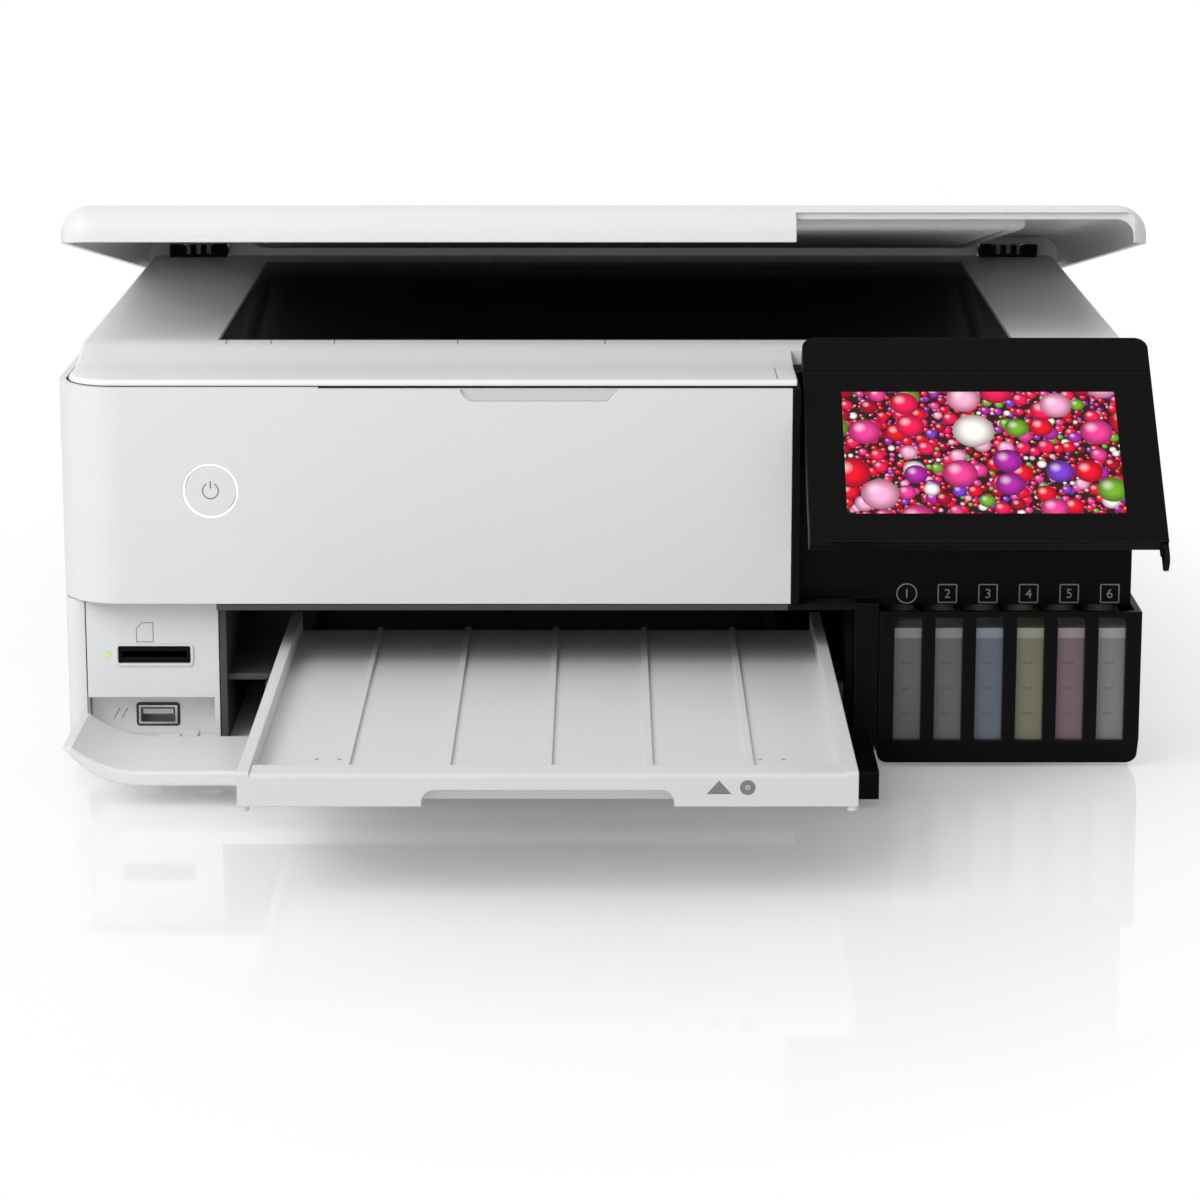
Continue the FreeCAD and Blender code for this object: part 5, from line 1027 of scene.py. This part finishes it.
class PRINTER_OT_lid_pad(Operator):
    """Makes the soft document pad under the lid: a rolled edge carried round a rounded rectangle"""
    bl_idname = "printer.lid_pad"
    bl_label = "Lid pad"

    def execute(self, context):
        pad = context.scene.printer_pad
        glass_low, glass_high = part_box("scanner_glass")
        low = np.array(glass_low[:2]) - PAD_MARGIN
        high = np.array(glass_high[:2]) + PAD_MARGIN
        bottom = glass_high[2] + PAD_ROOM
        top = bottom + PAD_THICK
        # Rows run from the middle of the underside out to the edge, round it and in over the top.
        under = np.concatenate((np.linspace(0.0, 0.9, 7), (0.948, 0.953, 0.957, 0.962, 0.985)))
        welt = np.where((under > 0.95) & (under < 0.96), pad.welt, 0.0)
        roll = np.radians(np.linspace(-90.0, 0.0, 7))
        inset = np.concatenate((np.zeros(len(under)), pad.edge * (1.0 - np.cos(roll)), np.zeros(2)))
        share = np.concatenate((under, np.ones(8), (0.0,)))
        height = np.concatenate((bottom + pad.crown * (under ** 2) + welt,
                                 bottom + pad.crown + pad.edge * (1.0 + np.sin(roll)), (top, top)))
        outline = round_rectangle(low, high, pad.corner, 10)
        middle = (low + high) / 2
        size = (high - low) / 2
        shrink = share[:, None, None] * (1.0 - inset[:, None, None] / size)
        flat = middle + (outline - middle)[None] * shrink
        level = np.broadcast_to(height[:, None, None], flat.shape[:2] + (1,))
        points = np.concatenate((flat, level), axis=2)
        faces = grid_quads(len(share), len(outline), False)
        piece = add_piece("document_pad", turned_with_lid(points.reshape(-1, 3)), faces, "lid",
                          moulded("pad_cloth", pad.colour, 0.75, 0.18, 1100.0, 0.25, edge_highlight=0.1), True)
        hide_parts("lid_mat")
        return {"FINISHED"}


# Places of the lamps and their sizes, the point they aim at, the camera's place, tilt and shift, and the
# floor's rings, its turns and its drop under the feet.
KEY_LAMP = ((-1.25, -1.25, 1.60), 1.4)
LOW_LAMP = ((-0.50, -1.95, 0.85), 1.2)
TOP_LAMP = ((0.0, 0.35, 1.9), 1.6)
LAMP_AIM = (0.0, 0.0, 0.08)
CAMERA_PLACE = (0.0, -1.4965, 0.3812)
CAMERA_TILT = math.radians(77.25)
CAMERA_SHIFT = -0.0029
FLOOR_RINGS = (0.0, 0.3, 0.8, 2.0, 14.0)
FLOOR_TURNS = 64
FLOOR_DROP = 0.3 * MM
# The floor turns white past an oval round the printer: how it is shifted and stretched, and its reach.
FADE_SHIFT = (0.0, -0.05, 0.0)
FADE_STRETCH = (1.3, 0.72, 1.0)
FADE_START = 0.23
FADE_STOP = 0.42


class PRINTER_OT_stage(Operator):
    """Lays the pale floor, sets the soft lamps, the world and the camera"""
    bl_idname = "printer.stage"
    bl_label = "Stage"

    def execute(self, context):
        looks = context.scene.printer_stage
        self.lay_floor(context, looks)
        self.light_world(context, looks)
        lamps = (("key_lamp", KEY_LAMP, looks.key), ("low_lamp", LOW_LAMP, looks.low),
                 ("top_lamp", TOP_LAMP, looks.top))
        for name, (place, size), power in lamps:
            lamp = bpy.data.lights.new(name, "AREA")
            lamp.size = size
            lamp.energy = power
            holder = bpy.data.objects.new(name, lamp)
            holder.location = place
            aim = np.array(LAMP_AIM) - np.array(place)
            flat = math.hypot(aim[0], aim[1])
            turn = math.atan2(aim[1], aim[0]) - math.pi / 2
            holder.rotation_euler = (math.atan2(flat, -aim[2]), 0.0, turn)
            context.scene.collection.objects.link(holder)
        camera = bpy.data.cameras.new("camera")
        camera.lens = looks.lens
        camera.sensor_width = 36.0
        camera.shift_x = CAMERA_SHIFT
        holder = bpy.data.objects.new("camera", camera)
        holder.location = CAMERA_PLACE
        holder.rotation_euler = (CAMERA_TILT, 0.0, 0.0)
        context.scene.collection.objects.link(holder)
        context.scene.camera = holder
        context.scene.view_settings.view_transform = "Standard"
        return {"FINISHED"}

    def lay_floor(self, context, looks):
        """A disc on a grid of radius and angle, just under the feet."""
        radius = np.array(FLOOR_RINGS)[:, None]
        turn = np.linspace(0.0, 2.0 * math.pi, FLOOR_TURNS + 1)[None, :-1]
        across = radius * np.cos(turn)
        points = np.stack((across, radius * np.sin(turn), np.full(across.shape, -FLOOR_DROP)), axis=2)
        mesh = bpy.data.meshes.new("floor")
        mesh.from_pydata(points.reshape(-1, 3).tolist(), [], grid_quads(*across.shape, False))
        material, tree, shader = blank("floor_pale")
        place = put(tree, "ShaderNodeTexCoord").outputs["Object"]
        round_middle = put(tree, "ShaderNodeMapping", {"Vector": place, "Location": FADE_SHIFT,
                                                       "Scale": FADE_STRETCH}).outputs[0]
        reach = put(tree, "ShaderNodeVectorMath", {0: round_middle}, operation="LENGTH").outputs["Value"]
        fade = put(tree, "ShaderNodeMapRange", {"Value": reach, "From Min": FADE_START,
                                                "From Max": FADE_STOP, "To Min": 0.2,
                                                "To Max": 1.0}).outputs[0]
        fill(tree, shader, {"Base Color": rgba(looks.floor), "Roughness": 0.04, "Specular IOR Level": 0.6})
        seen = put(tree, "ShaderNodeLightPath").outputs["Is Camera Ray"]
        white = put(tree, "ShaderNodeEmission", {"Strength": 1.0})
        mixed = put(tree, "ShaderNodeMixShader", {0: maths(tree, "MULTIPLY", seen, fade),
                                                  1: shader.outputs[0], 2: white.outputs[0]})
        tree.links.new(mixed.outputs[0], tree.nodes["Material Output"].inputs["Surface"])
        mesh.materials.append(material)
        floor = bpy.data.objects.new("floor", mesh)
        context.scene.collection.objects.link(floor)

    def light_world(self, context, looks):
        """White where the camera, gloss or glass looks, an even grey light for the rest."""
        world = bpy.data.worlds.new("studio")
        context.scene.world = world
        world.use_nodes = True
        tree = world.node_tree
        tree.nodes.clear()
        ray = put(tree, "ShaderNodeLightPath").outputs
        sharp = maths(tree, "MAXIMUM", ray["Is Glossy Ray"], ray["Is Transmission Ray"])
        seen = maths(tree, "MAXIMUM", ray["Is Camera Ray"], sharp)
        soft = put(tree, "ShaderNodeBackground", {"Color": (1, 1, 1, 1), "Strength": looks.fill})
        white = put(tree, "ShaderNodeBackground", {"Color": (1, 1, 1, 1), "Strength": 1.0})
        mixed = put(tree, "ShaderNodeMixShader", {0: seen, 1: soft.outputs[0], 2: white.outputs[0]})
        put(tree, "ShaderNodeOutputWorld", {"Surface": mixed.outputs[0]})


GROUPS = (("printer_casing", CasingLooks), ("printer_marks", MarkSizes), ("printer_screen", ScreenLooks),
          ("printer_tanks", TankLooks), ("printer_pad", PadSizes), ("printer_stage", StageLooks))
OPERATORS = (PRINTER_OT_casing, PRINTER_OT_mechanism, PRINTER_OT_electrics, PRINTER_OT_glass,
             PRINTER_OT_tanks, PRINTER_OT_power_mark, PRINTER_OT_bed_marks, PRINTER_OT_tank_labels,
             PRINTER_OT_screen, PRINTER_OT_panel_lines, PRINTER_OT_tray_marks, PRINTER_OT_card_marks,
             PRINTER_OT_grip, PRINTER_OT_hinge_combs, PRINTER_OT_lid_pad, PRINTER_OT_stage)


class PRINTER_PT_looks(Panel):
    """Lists the printer's looks and what makes them"""
    bl_idname = "PRINTER_PT_looks"
    bl_label = "Printer"
    bl_space_type = "VIEW_3D"
    bl_region_type = "UI"
    bl_category = "Printer"

    def draw(self, context):
        for name, kind in GROUPS:
            box = self.layout.box()
            box.label(text=kind.__doc__)
            for field in kind.__annotations__:
                box.prop(getattr(context.scene, name), field)
        for kind in OPERATORS:
            self.layout.operator(kind.bl_idname)


def register():
    for name, kind in GROUPS:
        bpy.utils.register_class(kind)
        setattr(bpy.types.Scene, name, PointerProperty(type=kind))
    for kind in OPERATORS + (PRINTER_PT_looks,):
        bpy.utils.register_class(kind)


def unregister():
    for kind in (PRINTER_PT_looks,) + OPERATORS[::-1]:
        bpy.utils.unregister_class(kind)
    for name, kind in GROUPS[::-1]:
        delattr(bpy.types.Scene, name)
        bpy.utils.unregister_class(kind)


def main():
    register()
    for kind in OPERATORS:
        family, action = kind.bl_idname.split(".")
        getattr(getattr(bpy.ops, family), action)()


if __name__ == "__main__":
    main()
